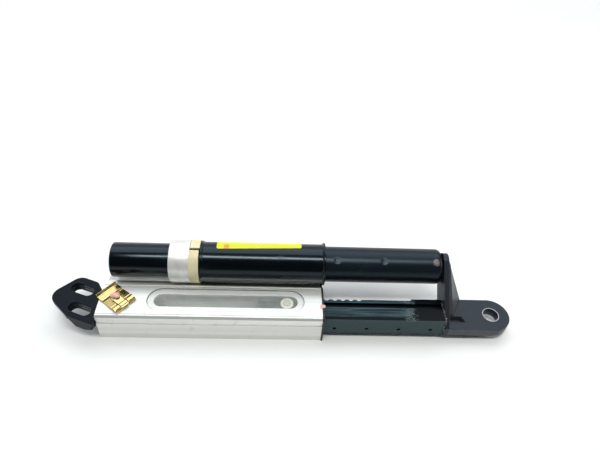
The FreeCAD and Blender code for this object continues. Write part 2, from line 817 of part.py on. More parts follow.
# End bracket: a flat lug with the eye, an arm that leans back to the tube, and a gusset.
end_bracket = new_body("end_bracket")
pad(end_bracket, outline(sketch_on(end_bracket, "XY_Plane"), [
    ("0", "-(lug_half_width)"),
    ("eye_reach", "-(lug_half_width)"),
    ("eye_reach", "lug_half_width"),
    ("0", "lug_half_width"),
]), "lug_thickness")
pad(end_bracket, circle(
    sketch_on(end_bracket, "XY_Plane"), "eye_reach", "0", "lug_half_width"), "lug_thickness")
front_corner = ("(arm_end_y - arm_front * sin(arm_lean))",
                "(arm_end_z + arm_front * cos(arm_lean))")
back_corner = ("(arm_end_y + arm_behind * sin(arm_lean))",
               "(arm_end_z - arm_behind * cos(arm_lean))")
pad(end_bracket, outline(sketch_on(end_bracket, "YZ_Plane"), [
    ("-(rail_front)", "0"),
    (f"{back_corner[0]} - {back_corner[1]} / tan(arm_lean)", "0"),
    back_corner,
    front_corner,
    ("-(rail_front)", f"{front_corner[1]} - ({front_corner[0]} + rail_front) * tan(arm_lean)"),
]), "arm_thickness")
for corner in (front_corner, back_corner):
    round_edges(end_bracket, "arm_round", lengthwise_at(*corner))
cut(end_bracket, outline(sketch_on(end_bracket, "XY_Plane", lift="lug_thickness"), [
    ("pocket_start", "-(pocket_front)"),
    ("pocket_start + pocket_length", "-(pocket_front)"),
    ("pocket_start + pocket_length - 2.5", "pocket_width - pocket_front"),
    ("pocket_start", "pocket_width - pocket_front"),
]), "pocket_depth")
gusset_foot = outline(sketch_on(end_bracket, "XY_Plane", lift="lug_thickness - 0.5"), [
    ("arm_thickness - 0.5", "-(gusset_front)"),
    ("arm_thickness + gusset_foot", "-(gusset_front)"),
    ("arm_thickness + gusset_reach", "lug_half_width - 0.2"),
    ("arm_thickness - 0.5", "lug_half_width - 0.2"),
])
gusset_head = outline(
    sketch_on(end_bracket, "XY_Plane", lift="lug_thickness + gusset_height"), [
        ("arm_thickness - 0.5", "tube_line_back - gusset_head_front"),
        ("arm_thickness + gusset_tip", "tube_line_back - gusset_head_front"),
        ("arm_thickness + gusset_tip", "tube_line_back + gusset_head_back"),
        ("arm_thickness - 0.5", "tube_line_back + gusset_head_back"),
    ])
gusset = end_bracket.newObject("PartDesign::AdditiveLoft", "Gusset")
gusset.Profile = gusset_foot
gusset.Sections = [gusset_head]
gusset.Ruled = True
doc.recompute()
cut(end_bracket, circle(
    sketch_on(end_bracket, "XY_Plane", lift="lug_thickness"), "eye_reach", "0",
    "eye_bush_radius + bond_gap"), "lug_thickness + 1")
place(end_bracket, "rail_end", "0", "rail_bottom")

eye_bush = upright("eye_bush", [
    ("eye_bore_radius", "0"),
    ("eye_bush_radius", "0"),
    ("eye_bush_radius", "lug_thickness"),
    ("eye_bore_radius", "lug_thickness"),
], "eye_along", "0", "rail_bottom")

# Plunger tube: closed and rounded at the eye end, open where it enters the guard sleeve.
plunger_tube = turned("plunger_tube", [
    ("0", "plunger_bore"),
    ("plunger_length - plunger_wall", "plunger_bore"),
    ("plunger_length - plunger_wall", "0"),
    ("plunger_length", "0"),
    ("plunger_length", "plunger_radius"),
    ("0", "plunger_radius"),
], "plunger_left")
far_end = number("plunger_length")
round_edges(
    plunger_tube, "plunger_round",
    lambda edge: len(edge.Vertexes) == 1
    and abs(edge.Vertexes[0].Point.x - far_end) < 0.01
    and abs(abs(edge.Vertexes[0].Point.y) + abs(edge.Vertexes[0].Point.z)
            - number("plunger_radius")) < 0.01)
for distance in ("dimple_first", "dimple_second"):
    ball = plunger_tube.newObject("PartDesign::SubtractiveSphere", "Dimple")
    bind(ball, "Radius", "dimple_ball")
    bind(ball, "AttachmentOffset.Base.x", f"plunger_length - {distance}")
    bind(ball, "AttachmentOffset.Base.y",
         "-(plunger_radius + dimple_ball - dimple_depth) * sin(spot_angle)")
    bind(ball, "AttachmentOffset.Base.z",
         "(plunger_radius + dimple_ball - dimple_depth) * cos(spot_angle)")
    for feature in plunger_tube.Origin.OriginFeatures:
        if feature.Role == "XY_Plane":
            ball.AttachmentSupport = (feature, [""])
    ball.MapMode = "FlatFace"
    doc.recompute()
rivet_hole = sketch_on(plunger_tube, "XY_Plane")
circle(rivet_hole, "plunger_length - rivet_inset", "0", "rivet_radius + bond_gap")
rivet_hole.AttachmentOffset = FreeCAD.Placement(
    FreeCAD.Vector(0, 0, 0), FreeCAD.Rotation(FreeCAD.Vector(1, 0, 0), 1))
bind(rivet_hole, "AttachmentOffset.Rotation.Angle", "spot_angle")
cut(plunger_tube, rivet_hole, both_ways=True)

plunger_rivet = doc.addObject("Part::Cylinder", "plunger_rivet")
plunger_rivet.Label = "plunger_rivet"
bind(plunger_rivet, "Radius", "rivet_radius")
bind(plunger_rivet, "Height", "2 * rivet_reach")
plunger_rivet.Placement.Rotation = FreeCAD.Rotation(FreeCAD.Vector(1, 0, 0), 1)
bind(plunger_rivet, "Placement.Rotation.Angle", "spot_angle")
place(plunger_rivet, "rail_end - rivet_inset",
      "tube_line_back + rivet_reach * sin(spot_angle)",
      "tube_line_height - rivet_reach * cos(spot_angle)")

cylinder_plug = turned("cylinder_plug", [
    ("0", "0"),
    ("plug_length", "0"),
    ("plug_length", "plunger_bore - bond_gap"),
    ("0", "plunger_bore - bond_gap"),
], "plug_left")
plug_hole = sketch_on(cylinder_plug, "XY_Plane")
circle(plug_hole, "plug_length + plunger_wall - rivet_inset", "0", "rivet_radius + bond_gap")
plug_hole.AttachmentOffset = FreeCAD.Placement(
    FreeCAD.Vector(0, 0, 0), FreeCAD.Rotation(FreeCAD.Vector(1, 0, 0), 1))
bind(plug_hole, "AttachmentOffset.Rotation.Angle", "spot_angle")
cut(cylinder_plug, plug_hole, both_ways=True)

gas_cylinder = turned(
    "gas_cylinder", ring_steps("cylinder_length", "cylinder_radius", "cylinder_bore"),
    "cylinder_left")
rod_guide = turned(
    "rod_guide", ring_steps("guide_length", "cylinder_bore - bond_gap",
                            "rod_radius + running_fit"), "cylinder_left")
rod_seal = turned(
    "rod_seal", ring_steps("seal_length", "cylinder_bore - bond_gap",
                           "rod_radius + running_fit"),
    "cylinder_left + guide_length + seal_gap")
plunger_bush = turned(
    "plunger_bush", ring_steps("bush_length", "plunger_bore - bond_gap",
                               "cylinder_radius + bond_gap"), "plunger_left")
ring_steps_at = ring_steps("ring_width", "plunger_bore - bond_gap",
                           "cylinder_radius + bond_gap")
centring = [
    turned("CentringRing", ring_steps_at, f"rail_end - {distance} - ring_width / 2")
    for distance in ("dimple_first", "dimple_second")
]
centring_rings = doc.addObject("Part::Compound", "centring_rings")
centring_rings.Label = "centring_rings"
centring_rings.Links = centring


# ---------------------------------------------------------------------------------------------
# hinge bracket: two stacked plates that swing about the pivot pin in the housing's left end


def stop_edge(back):
    """A point of the edge that meets the housing's end face, at a distance across the stay."""
    return (f"stop_edge_x - ({back}) * sin(bracket_swing)",
            f"stop_edge_y + ({back}) * cos(bracket_swing)")


def plate_corners(front):
    """The plate's outline about the pivot, with its front edge at the given distance."""
    front_reach = f"(-({front}) + (pivot_inset + bracket_clearance) * sin(bracket_swing))"
    return [
        ("-(fold_start + 25.6)", "-(bracket_front - 10.8)"),
        ("-(fold_start)", f"-({front})"),
        stop_edge(f"{front_reach} / cos(bracket_swing)"),
        stop_edge("-(tongue_radius + 0.6)"),
        ("-(tongue_radius * 0.7)", "-(tongue_radius * 0.7)"),
        ("0", "-(tongue_radius * 0.4)"),
        ("0", "tongue_radius * 0.4"),
        ("-(tongue_radius * 0.9)", "tongue_radius * 0.75"),
        ("-(tongue_radius + 5.6)", "tongue_radius * 0.4"),
        ("-24.6", "bracket_back"),
        ("-41.0", "bracket_back"),
    ]


def bracket_plate(name, bottom, front):
    """One of the two plates, with the tongue's round end, the pivot bore and the bolt slots."""
    piece = new_body(name)
    corners = plate_corners(front)
    pad(piece, outline(sketch_on(piece, "XY_Plane"), corners), "plate_thickness")
    rounding = ((0, "9.0"), (9, "5.0"), (10, "8.0"))
    for index, radius in rounding:
        round_edges(piece, radius, upright_at(*corners[index]))
    pad(piece, circle(sketch_on(piece, "XY_Plane"), "0", "0", "tongue_radius"),
        "plate_thickness")
    cut(piece, circle(
        sketch_on(piece, "XY_Plane", lift="plate_thickness"), "0", "0",
        "pivot_bush_radius + bond_gap"), "plate_thickness + 1")
    slots = (("rear_slot_reach", "rear_slot_offset"), ("front_slot_reach", "-front_slot_offset"))
    for reach, offset in slots:
        cut(piece, obround(
            sketch_on(piece, "XY_Plane", lift="plate_thickness", shift=(f"-({reach})", offset)),
            "-(bolt_slot_span / 2)", "bolt_slot_span / 2", "bolt_slot_width / 2"),
            "plate_thickness + 1")
    place(piece, "pivot_along", "0", bottom)
    return piece


def swing_to_rest(piece):
    piece.Placement.Rotation = FreeCAD.Rotation(FreeCAD.Vector(0, 0, -1), 1)
    bind(piece, "Placement.Rotation.Angle", "bracket_swing")


hinge_plate = bracket_plate("hinge_plate", "bracket_top - plate_thickness", "bracket_front")
flange = outline(
    sketch_on(hinge_plate, "XZ_Plane", lift="bracket_front - flange_wall"), [
        ("-(fold_start) + 0.6", "0.5"),
        ("-(fold_start) + 5.5", "plate_thickness - flange_depth"),
        ("-12.5", "plate_thickness - flange_depth"),
        ("-6.0", "plate_thickness - flange_depth + 3.5"),
        ("-6.0", "0.5"),
    ])
pad(hinge_plate, flange, "flange_wall")
swing_to_rest(hinge_plate)

hinge_doubler = bracket_plate(
    "hinge_doubler", "bracket_top - 2 * plate_thickness",
    "bracket_front - flange_wall - bond_gap")
swing_to_rest(hinge_doubler)

hinge_bush = upright("hinge_bush", [
    ("pivot_pin_radius + running_fit", "0"),
    ("pivot_bush_radius", "0"),
    ("pivot_bush_radius", "2 * plate_thickness"),
    ("pivot_pin_radius + running_fit", "2 * plate_thickness"),
], "pivot_along", "0", "bracket_top - 2 * plate_thickness")

# Pivot pin, the spacer under the bracket and the washer above it stay with the housing.
swivel_pin = upright("swivel_pin", [
    ("0", "0.2"),
    ("pivot_pin_radius", "0.2"),
    ("pivot_pin_radius", "clip_top"),
    ("pivot_head_radius", "clip_top"),
    ("pivot_head_radius", "clip_top + pivot_head_height * 0.55"),
    ("pivot_head_radius * 0.72", "clip_top + pivot_head_height"),
    ("0", "clip_top + pivot_head_height"),
], "pivot_along")
pivot_spacer = upright("pivot_spacer", [
    ("pivot_pin_radius + bond_gap", "0"),
    ("pivot_spacer_radius", "0"),
    ("pivot_spacer_radius", "bracket_top - 2 * plate_thickness - pivot_play - floor_wall"),
    ("pivot_pin_radius + bond_gap",
     "bracket_top - 2 * plate_thickness - pivot_play - floor_wall"),
], "pivot_along", "0", "floor_wall")
pivot_washer = upright("pivot_washer", [
    ("pivot_pin_radius + bond_gap", "0"),
    ("pivot_washer_radius", "0"),
    ("pivot_washer_radius", "cavity_top - bracket_top - pivot_play"),
    ("pivot_pin_radius + bond_gap", "cavity_top - bracket_top - pivot_play"),
], "pivot_along", "0", "bracket_top + pivot_play")

# Spring clip: folded sheet on the housing's top, turned across it, held under the pin's head.
spring_clip = new_body("spring_clip")
pad(spring_clip, outline(sketch_on(spring_clip, "XY_Plane"), [
    ("clip_left", "-(clip_width / 2)"),
    ("clip_right", "-(clip_width / 2)"),
    ("clip_right", "clip_width / 2"),
    ("clip_left", "clip_width / 2"),
]), "clip_sheet")
pad(spring_clip, outline(sketch_on(spring_clip, "XY_Plane"), [
    ("clip_left", "-(clip_width / 2)"),
    ("clip_left + clip_sheet", "-(clip_width / 2)"),
    ("clip_left + clip_sheet", "clip_width / 2"),
    ("clip_left", "clip_width / 2"),
]), "clip_lip")
pad(spring_clip, outline(sketch_on(spring_clip, "XY_Plane"), [
    ("clip_right - clip_step_length", "-(clip_width / 2) + 1"),
    ("clip_right", "-(clip_width / 2) + 1"),
    ("clip_right", "clip_width / 2"),
    ("clip_right - clip_step_length", "clip_width / 2"),
]), "clip_sheet + clip_step")
cut(spring_clip, outline(sketch_on(spring_clip, "XY_Plane", lift="clip_sheet + clip_step"), [
    ("clip_right - clip_step_length - clip_window_length", "clip_width / 2 + 1"),
    ("clip_right - clip_step_length", "clip_width / 2 + 1"),
    ("clip_right - clip_step_length", "clip_width / 2 - clip_window_width"),
    ("clip_right - clip_step_length - clip_window_length",
     "clip_width / 2 - clip_window_width"),
]), "clip_sheet + clip_step + 1")
cut(spring_clip, circle(
    sketch_on(spring_clip, "XY_Plane", lift="clip_sheet + clip_step"), "0", "0",
    "pivot_pin_radius + bond_gap"), "clip_sheet + clip_step + 1")
place(spring_clip, "pivot_along", "0", "housing_height")
spring_clip.Placement.Rotation = FreeCAD.Rotation(FreeCAD.Vector(0, 0, -1), 1)
bind(spring_clip, "Placement.Rotation.Angle", "clip_turn")
doc.recompute()


# ---------------------------------------------------------------------------------------------
# checks and export

pieces = [
    guide_housing, slot_window, end_wiper, glide_floor, glide_front, glide_back,
    base_tube, base_cap, collar_ring, split_ring, guard_sleeve, sleeve_label,
    piston_rod, piston, piston_seal, collar_screws,
    slider_rail, stop_washer, stop_pin, end_bracket, eye_bush,
    plunger_tube, plunger_rivet, cylinder_plug, gas_cylinder, rod_guide, rod_seal,
    plunger_bush, centring_rings,
    hinge_plate, hinge_doubler, hinge_bush, swivel_pin, pivot_spacer, pivot_washer,
    spring_clip,
]

for item in doc.Objects:
    if "Invalid" in item.State or "Error" in item.State:
        raise RuntimeError(f"{item.Label} failed: {item.State}")
for piece in pieces:
    if piece.Shape.isNull() or not piece.Shape.isValid():
        raise RuntimeError(f"{piece.Label} has no valid shape")

os.makedirs("parts", exist_ok=True)
for piece in pieces:
    piece.Shape.exportStep(f"parts/{piece.Label}.step")
    print(f"{piece.Label:16s} {piece.Shape.Volume:9.1f} mm3, {len(piece.Shape.Solids)} solid")
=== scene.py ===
import math

import bmesh
import bpy
import numpy as np
from mathutils import Matrix, Vector


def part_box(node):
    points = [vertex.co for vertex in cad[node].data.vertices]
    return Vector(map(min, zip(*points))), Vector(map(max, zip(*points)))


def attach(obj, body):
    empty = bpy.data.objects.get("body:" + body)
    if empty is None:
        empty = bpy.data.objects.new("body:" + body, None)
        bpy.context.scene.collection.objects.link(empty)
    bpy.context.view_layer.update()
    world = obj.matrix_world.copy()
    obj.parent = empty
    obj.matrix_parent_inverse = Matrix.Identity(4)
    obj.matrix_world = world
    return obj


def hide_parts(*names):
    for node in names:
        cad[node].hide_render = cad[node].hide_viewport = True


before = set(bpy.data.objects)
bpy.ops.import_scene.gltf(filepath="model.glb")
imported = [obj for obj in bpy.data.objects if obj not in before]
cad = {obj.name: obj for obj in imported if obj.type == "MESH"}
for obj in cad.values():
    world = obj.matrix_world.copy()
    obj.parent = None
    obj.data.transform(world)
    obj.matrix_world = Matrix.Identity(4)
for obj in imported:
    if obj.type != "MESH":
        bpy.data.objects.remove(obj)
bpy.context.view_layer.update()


# ----------------------------------------------------------
# Camera. It stands in front of the stay and above it, looking down at 43 degrees, a little
# turned and tipped, as a hand holds it.

def held_camera(place, turn, dip, tilt, lens):
    """A camera at place that looks along +Y, turned, dipped and tilted by the given angles."""
    ahead = Vector((math.sin(turn) * math.cos(dip), math.cos(turn) * math.cos(dip), -math.sin(dip)))
    level = Vector((math.cos(turn), -math.sin(turn), 0.0))
    above = level.cross(ahead)
    right = level * math.cos(tilt) + above * math.sin(tilt)
    upward = above * math.cos(tilt) - level * math.sin(tilt)
    data = bpy.data.cameras.new("camera")
    data.lens = lens
    data.sensor_width = 36.0
    data.clip_start = 0.01
    data.clip_end = 30.0
    camera = bpy.data.objects.new("camera", data)
    bpy.context.scene.collection.objects.link(camera)
    turned = Matrix((right, upward, -ahead)).transposed().to_4x4()
    camera.matrix_world = Matrix.Translation(place) @ turned
    return camera


bpy.context.scene.camera = held_camera(
    Vector((0.04567, -0.25187, 0.3468)), turn=0.0729, dip=0.7547, tilt=0.0763, lens=30.81)


# ----------------------------------------------------------
# Table, backdrop and lights. A white table runs up into a white backdrop. A bright strip
# overhead draws the line along the tubes, a wide panel behind it greys their tops, and two
# small panels at the sides lift the ends.

FACED_BY_LIGHTS = Vector((0.05, 0.0, 0.0))


def soft_light(name, place, width, depth, watts, tint):
    """A rectangular light at place that faces the stay."""
    data = bpy.data.lights.new(name, "AREA")
    data.shape = "RECTANGLE"
    data.size = width
    data.size_y = depth
    data.energy = watts
    data.color = tint
    lamp = bpy.data.objects.new(name, data)
    bpy.context.scene.collection.objects.link(lamp)
    facing = (FACED_BY_LIGHTS - Vector(place)).to_track_quat("-Z", "Y")
    lamp.matrix_world = Matrix.Translation(Vector(place)) @ facing.to_matrix().to_4x4()


for lamp in (
        ("ceiling_strip", (0.08, -0.36, 1.50), 1.2, 0.20, 12.4, (1.0, 1.0, 0.97)),
        ("back_panel", (0.0, 0.85, 1.55), 2.6, 1.3, 21.0, (0.93, 0.97, 1.0)),
        ("right_panel", (1.5, 0.0, 0.75), 0.8, 0.8, 6.5, (1.0, 0.97, 0.94)),
        ("left_panel", (-1.4, 0.0, 0.8), 0.9, 0.9, 4.5, (0.95, 0.98, 1.0))):
    soft_light(*lamp)


def feed(node, key, value):
    """Links another node's output to the node's input, or sets the input to a plain value."""
    if isinstance(value, bpy.types.NodeSocket):
        node.id_data.links.new(value, node.inputs[key])
    else:
        node.inputs[key].default_value = value


room = bpy.data.worlds.new("studio_air")
bpy.context.scene.world = room
room.use_nodes = True
air = room.node_tree.nodes["Background"]
feed(air, "Color", (0.72, 0.88, 1.0, 1.0))
feed(air, "Strength", 0.09)


def swept_table(width, front, back, rise, bend):
    """The section runs level, turns up through a quarter circle and stands up to its rise."""
    quarter = np.linspace(0.0, math.pi / 2, 13)
    run_y = np.concatenate(([front], back + bend * np.sin(quarter), [back + bend]))
    run_z = np.concatenate(([0.0], bend - bend * np.cos(quarter), [rise]))
    across, row = np.meshgrid([-width / 2, width / 2], np.arange(len(run_y)))
    points = np.stack([across.ravel(), run_y[row.ravel()], run_z[row.ravel()]], axis=1)
    first = np.arange(len(run_y) - 1) * 2
    faces = np.stack([first, first + 1, first + 3, first + 2], axis=1)
    mesh = bpy.data.meshes.new("table")
    mesh.from_pydata(points.tolist(), [], faces.tolist())
    mesh.shade_smooth()
    table = bpy.data.objects.new("table", mesh)
    bpy.context.scene.collection.objects.link(table)
    return table


table = swept_table(width=6.0, front=-1.6, back=0.9, rise=2.4, bend=0.5)

table_white = bpy.data.materials.new("table_white")
table_white.use_nodes = True
laminate = table_white.node_tree.nodes["Principled BSDF"]
feed(laminate, "Base Color", (0.93, 0.935, 0.925, 1.0))
feed(laminate, "Roughness", 0.5)
table.data.materials.append(table_white)
bpy.context.scene.view_settings.view_transform = "Standard"


# ----------------------------------------------------------
# Guide housing. An aluminium extrusion with mill finish: fine drawn lines along it, a few
# grey rubs and nicks, a dished slot in the top. Its saw-cut edges are broken by a file.

def add(tree, kind, sockets=None, **settings):
    """A shader node of that kind, with its settings made and its sockets fed."""
    made = tree.nodes.new("ShaderNode" + kind)
    for key, value in settings.items():
        setattr(made, key, value)
    for key, value in (sockets or {}).items():
        feed(made, key, value)
    return made


def reckon(tree, operation, *terms):
    """The result of a math node on one, two or three terms."""
    return add(tree, "Math", dict(enumerate(terms)), operation=operation).outputs[0]


def noise(tree, place, scale, detail, roughness=0.5, distortion=0.0):
    """The strength of a cloudy noise at each place."""
    return add(tree, "TexNoise", {
        "Vector": place, "Scale": scale, "Detail": detail, "Roughness": roughness,
        "Distortion": distortion}).outputs["Fac"]


def effect_group(name, inputs, outputs):
    """A new shader node group; inputs are (name, kind, default), outputs (name, kind)."""
    group = bpy.data.node_groups.new(name, "ShaderNodeTree")
    for label, kind, default in inputs:
        socket = group.interface.new_socket(label, in_out="INPUT", socket_type=kind)
        if default is not None:
            socket.default_value = default
    for label, kind in outputs:
        group.interface.new_socket(label, in_out="OUTPUT", socket_type=kind)
    entry = group.nodes.new("NodeGroupInput")
    leave = group.nodes.new("NodeGroupOutput")
    return group, entry, leave


def drawn_lines_group():
    """Noise squeezed across the X axis, so that it runs out into long lines along it."""
    group, entry, leave = effect_group(
        "drawn_lines",
        [("Vector", "NodeSocketVector", None), ("Along", "NodeSocketFloat", 12.0),
         ("Across", "NodeSocketFloat", 900.0)],
        [("Lines", "NodeSocketFloat"), ("Bands", "NodeSocketFloat")])
    parts = add(group, "SeparateXYZ", {0: entry.outputs["Vector"]}).outputs
    squeezed = add(group, "CombineXYZ", {
        key: reckon(group, "MULTIPLY", parts[key], entry.outputs[amount])
        for key, amount in (("X", "Along"), ("Y", "Across"), ("Z", "Across"))}).outputs[0]
    feed(leave, "Lines", noise(group, squeezed, 1.0, 4.0, roughness=0.65))
    feed(leave, "Bands", noise(group, squeezed, 0.22, 2.0))
    return group


def scuffs_group():
    """Scattered patches where a soft noise is high, broken up by a finer one."""
    group, entry, leave = effect_group(
        "scuffs",
        [("Vector", "NodeSocketVector", None), ("Size", "NodeSocketFloat", 60.0),
         ("From", "NodeSocketFloat", 0.58), ("To", "NodeSocketFloat", 0.72)],
        [("Mask", "NodeSocketFloat")])
    given = entry.outputs
    patch = noise(group, given["Vector"], given["Size"], 6.0, roughness=0.7, distortion=0.6)
    feed(leave, "Mask", add(group, "MapRange", {
        "Value": patch, "From Min": given["From"], "From Max": given["To"]}).outputs["Result"])
    return group


drawn_lines = drawn_lines_group()
scuffs = scuffs_group()


def drawn(tree, place, along, across):
    """The fine lines and the broad bands of the drawn lines group."""
    return add(tree, "Group", {"Vector": place, "Along": along, "Across": across},
               node_tree=drawn_lines).outputs


def scuffed(tree, place, size, low, high):
    """The mask of the scuffs group."""
    return add(tree, "Group", {"Vector": place, "Size": size, "From": low, "To": high},
               node_tree=scuffs).outputs["Mask"]


def new_finish(name):
    """An empty material: its tree, its Principled shader and the piece's own coordinates."""
    material = bpy.data.materials.new(name)
    material.use_nodes = True
    tree = material.node_tree
    shader = tree.nodes["Principled BSDF"]
    place = add(tree, "TexCoord").outputs["Object"]
    return material, tree, shader, place


MIX_COLOURS = (6, 7)
MIX_RESULT = 2


def two_tone(tree, factor, first, second):
    """A colour that goes from first to second as factor goes from 0 to 1."""
    blend = add(tree, "Mix", {"Factor": factor}, data_type="RGBA")
    for socket, colour in zip(MIX_COLOURS, (first, second)):
        feed(blend, socket, (*colour, 1.0) if isinstance(colour, tuple) else colour)
    return blend.outputs[MIX_RESULT]


def spread(tree, value, low, high, out_low=0.0, out_high=1.0):
    """Maps a value's range from low..high to out_low..out_high, held at both ends."""
    return add(tree, "MapRange", {
        "Value": value, "From Min": low, "From Max": high, "To Min": out_low,
        "To Max": out_high}).outputs["Result"]


def raise_by(tree, shader, height, strength, distance):
    """Feeds a height into the shader's normal."""
    bump = add(tree, "Bump", {"Height": height, "Strength": strength, "Distance": distance})
    feed(shader, "Normal", bump.outputs["Normal"])


def mill_finish():
    """Pale aluminium: drawn lines in colour, gloss and height, with a few dull rubs."""
    material, tree, shader, place = new_finish("mill_finish_aluminium")
    lines = drawn(tree, place, 9.0, 850.0)
    rubs = scuffed(tree, place, 95.0, 0.60, 0.72)
    bands = spread(tree, lines["Bands"], 0.35, 0.68)
    base = two_tone(tree, bands, (0.87, 0.87, 0.835), (0.73, 0.735, 0.70))
    base = two_tone(tree, rubs, base, (0.60, 0.60, 0.57))
    feed(shader, "Base Color", base)
    feed(shader, "Metallic", 0.72)
    rough = spread(tree, lines["Lines"], 0.3, 0.7, 0.34, 0.52)
    feed(shader, "Roughness", rough)
    raise_by(tree, shader, lines["Lines"], 0.30, 0.00006)
    return material


JOIN_WITHIN = 0.000004
SHARP_FROM = math.radians(32.0)


def soften_edges(node, width, segments=2):
    """Joins the node's loose triangles and breaks its sharp edges with a small round."""
    part = cad[node]
    join = part.modifiers.new("join", "WELD")
    join.merge_threshold = JOIN_WITHIN
    round_off = part.modifiers.new("round_off", "BEVEL")
    round_off.width = width
    round_off.segments = segments
    round_off.limit_method = "ANGLE"
    round_off.angle_limit = SHARP_FROM
    round_off.harden_normals = True


def give_finish(node, material):
    """Puts the material on a CAD node in place of its plain one."""
    part = cad[node]
    part.data.materials.clear()
    part.data.materials.append(material)


give_finish("guide_housing", mill_finish())
soften_edges("guide_housing", 0.00025)


# ----------------------------------------------------------
# End wiper and glides. The wiper is a thin black moulded plate on the housing's end, marked
# with a dab of pink paint. The glides are strips of off-white nylon inside the channel.

def moulded_plastic(name, colour, dull, grain):
    """Moulded plastic: a fine pebble grain, its gloss a little uneven."""
    material, tree, shader, place = new_finish(name)
    pebble = noise(tree, place, grain, 3.0, roughness=0.6)
    cloud = noise(tree, place, 45.0, 2.0)
    shade = tuple(0.72 * part for part in colour)
    tint = two_tone(tree, spread(tree, cloud, 0.35, 0.65), colour, shade)
    feed(shader, "Base Color", tint)
    gloss = spread(tree, pebble, 0.3, 0.7, dull - 0.06, dull + 0.08)
    feed(shader, "Roughness", gloss)
    raise_by(tree, shader, pebble, 0.25, 0.00005)
    return material


black_nylon = moulded_plastic("black_nylon", (0.012, 0.013, 0.014), 0.45, 2600.0)
pale_nylon = moulded_plastic("pale_nylon", (0.74, 0.76, 0.72), 0.5, 1500.0)
give_finish("end_wiper", black_nylon)
for strip in ("glide_floor", "glide_front", "glide_back", "plunger_bush", "centring_rings"):
    give_finish(strip, pale_nylon)


def grid_mesh(points, wrap_rows=False, wrap_columns=True):
    """A mesh from points[row, column]; a wrapped direction joins its last line to its first."""
    rows, columns = points.shape[:2]
    down = np.arange(rows if wrap_rows else rows - 1)
    over = np.arange(columns if wrap_columns else columns - 1)
    row, column = (side.ravel() for side in np.meshgrid(down, over, indexing="ij"))
    next_row = (row + 1) % rows
    next_column = (column + 1) % columns
    faces = np.stack([
        row * columns + column, row * columns + next_column,
        next_row * columns + next_column, next_row * columns + column], axis=1)
    mesh = bpy.data.meshes.new("grid")
    mesh.vertices.add(rows * columns)
    mesh.vertices.foreach_set("co", points.reshape(-1).astype(np.float32))
    mesh.loops.add(faces.size)
    mesh.polygons.add(len(faces))
    mesh.polygons.foreach_set("loop_start", np.arange(0, faces.size, 4, dtype=np.int32))
    mesh.loops.foreach_set("vertex_index", faces.ravel().astype(np.int32))
    mesh.update(calc_edges=True)
    mesh.validate()
    return mesh


def smooth_grid(points, wrap_rows=False, wrap_columns=True):
    """A grid mesh that is shaded smooth all over."""
    mesh = grid_mesh(points, wrap_rows, wrap_columns)
    mesh.shade_smooth()
    return mesh


def new_piece(name, mesh, material, body, stands_for=()):
    """Links a finished mesh into the scene as a piece that rides on the body."""
    mesh.name = name
    mesh.materials.append(material)
    piece = bpy.data.objects.new(name, mesh)
    bpy.context.scene.collection.objects.link(piece)
    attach(piece, body)
    if stands_for:
        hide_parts(*stands_for)
    return piece


FULL_TURN = 2 * math.pi


def full_turn(count):
    """That many angles, evenly spaced round a whole turn."""
    return np.linspace(0.0, FULL_TURN, count + 1)[:-1]


def paint_blob(centre, reach, seed):
    """A low lump: a dome whose rim wanders by sines of the angle round it."""
    turn, part = np.meshgrid(full_turn(24), np.linspace(0.0, 1.0, 7))
    rim = 1.0 + 0.16 * np.sin(2 * turn + seed) + 0.10 * np.sin(3 * turn + 2.1 * seed)
    width = np.cos(part * math.pi / 2) * rim
    height = np.sin(part * math.pi / 2)
    return smooth_grid(np.stack([
        centre[0] + reach[0] * width * np.cos(turn),
        centre[1] + reach[1] * width * np.sin(turn),
        centre[2] + reach[2] * height], axis=-1))


def daub_of_paint(name, colour, second):
    """Brushed paint: two close tones in streaks, with a soft shine."""
    material, tree, shader, place = new_finish(name)
    streak = noise(tree, place, 700.0, 3.0, distortion=1.2)
    tone = spread(tree, streak, 0.35, 0.65)
    feed(shader, "Base Color", two_tone(tree, tone, colour, second))
    feed(shader, "Roughness", spread(tree, tone, 0.0, 1.0, 0.35, 0.55))
    raise_by(tree, shader, streak, 0.4, 0.0001)
    return material


pink_paint = daub_of_paint("pink_paint", (0.80, 0.36, 0.32), (0.86, 0.52, 0.42))
wiper_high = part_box("end_wiper")[1]
dab_place = (wiper_high.x - 0.0012, -0.0045, wiper_high.z - 0.0003)
wiper_dab = paint_blob(dab_place, (0.0020, 0.0026, 0.0005), seed=0.7)
new_piece("wiper_paint_dab", wiper_dab, pink_paint, "housing")


# ----------------------------------------------------------
# Base tube and its cap. Drawn steel tube closed by a pressed-in cap whose rim is rolled, all
# in gloss black paint. The painted end of the rod shows as a small nub on the cap.

tube_low, tube_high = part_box("base_tube")
cap_low, cap_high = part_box("base_cap")
tube_line = ((tube_low.y + tube_high.y) / 2, (tube_low.z + tube_high.z) / 2)
tube_radius = (tube_high.z - tube_low.z) / 2
CREASE = math.radians(35.0)
LONGEST_EASE = 0.45


def creased_grid(points, wrap_rows=False):
    """A grid mesh closed across its rows, smooth but for creases where it turns sharply."""
    mesh = smooth_grid(points, wrap_rows)
    mesh.set_sharp_from_angle(angle=CREASE)
    return mesh


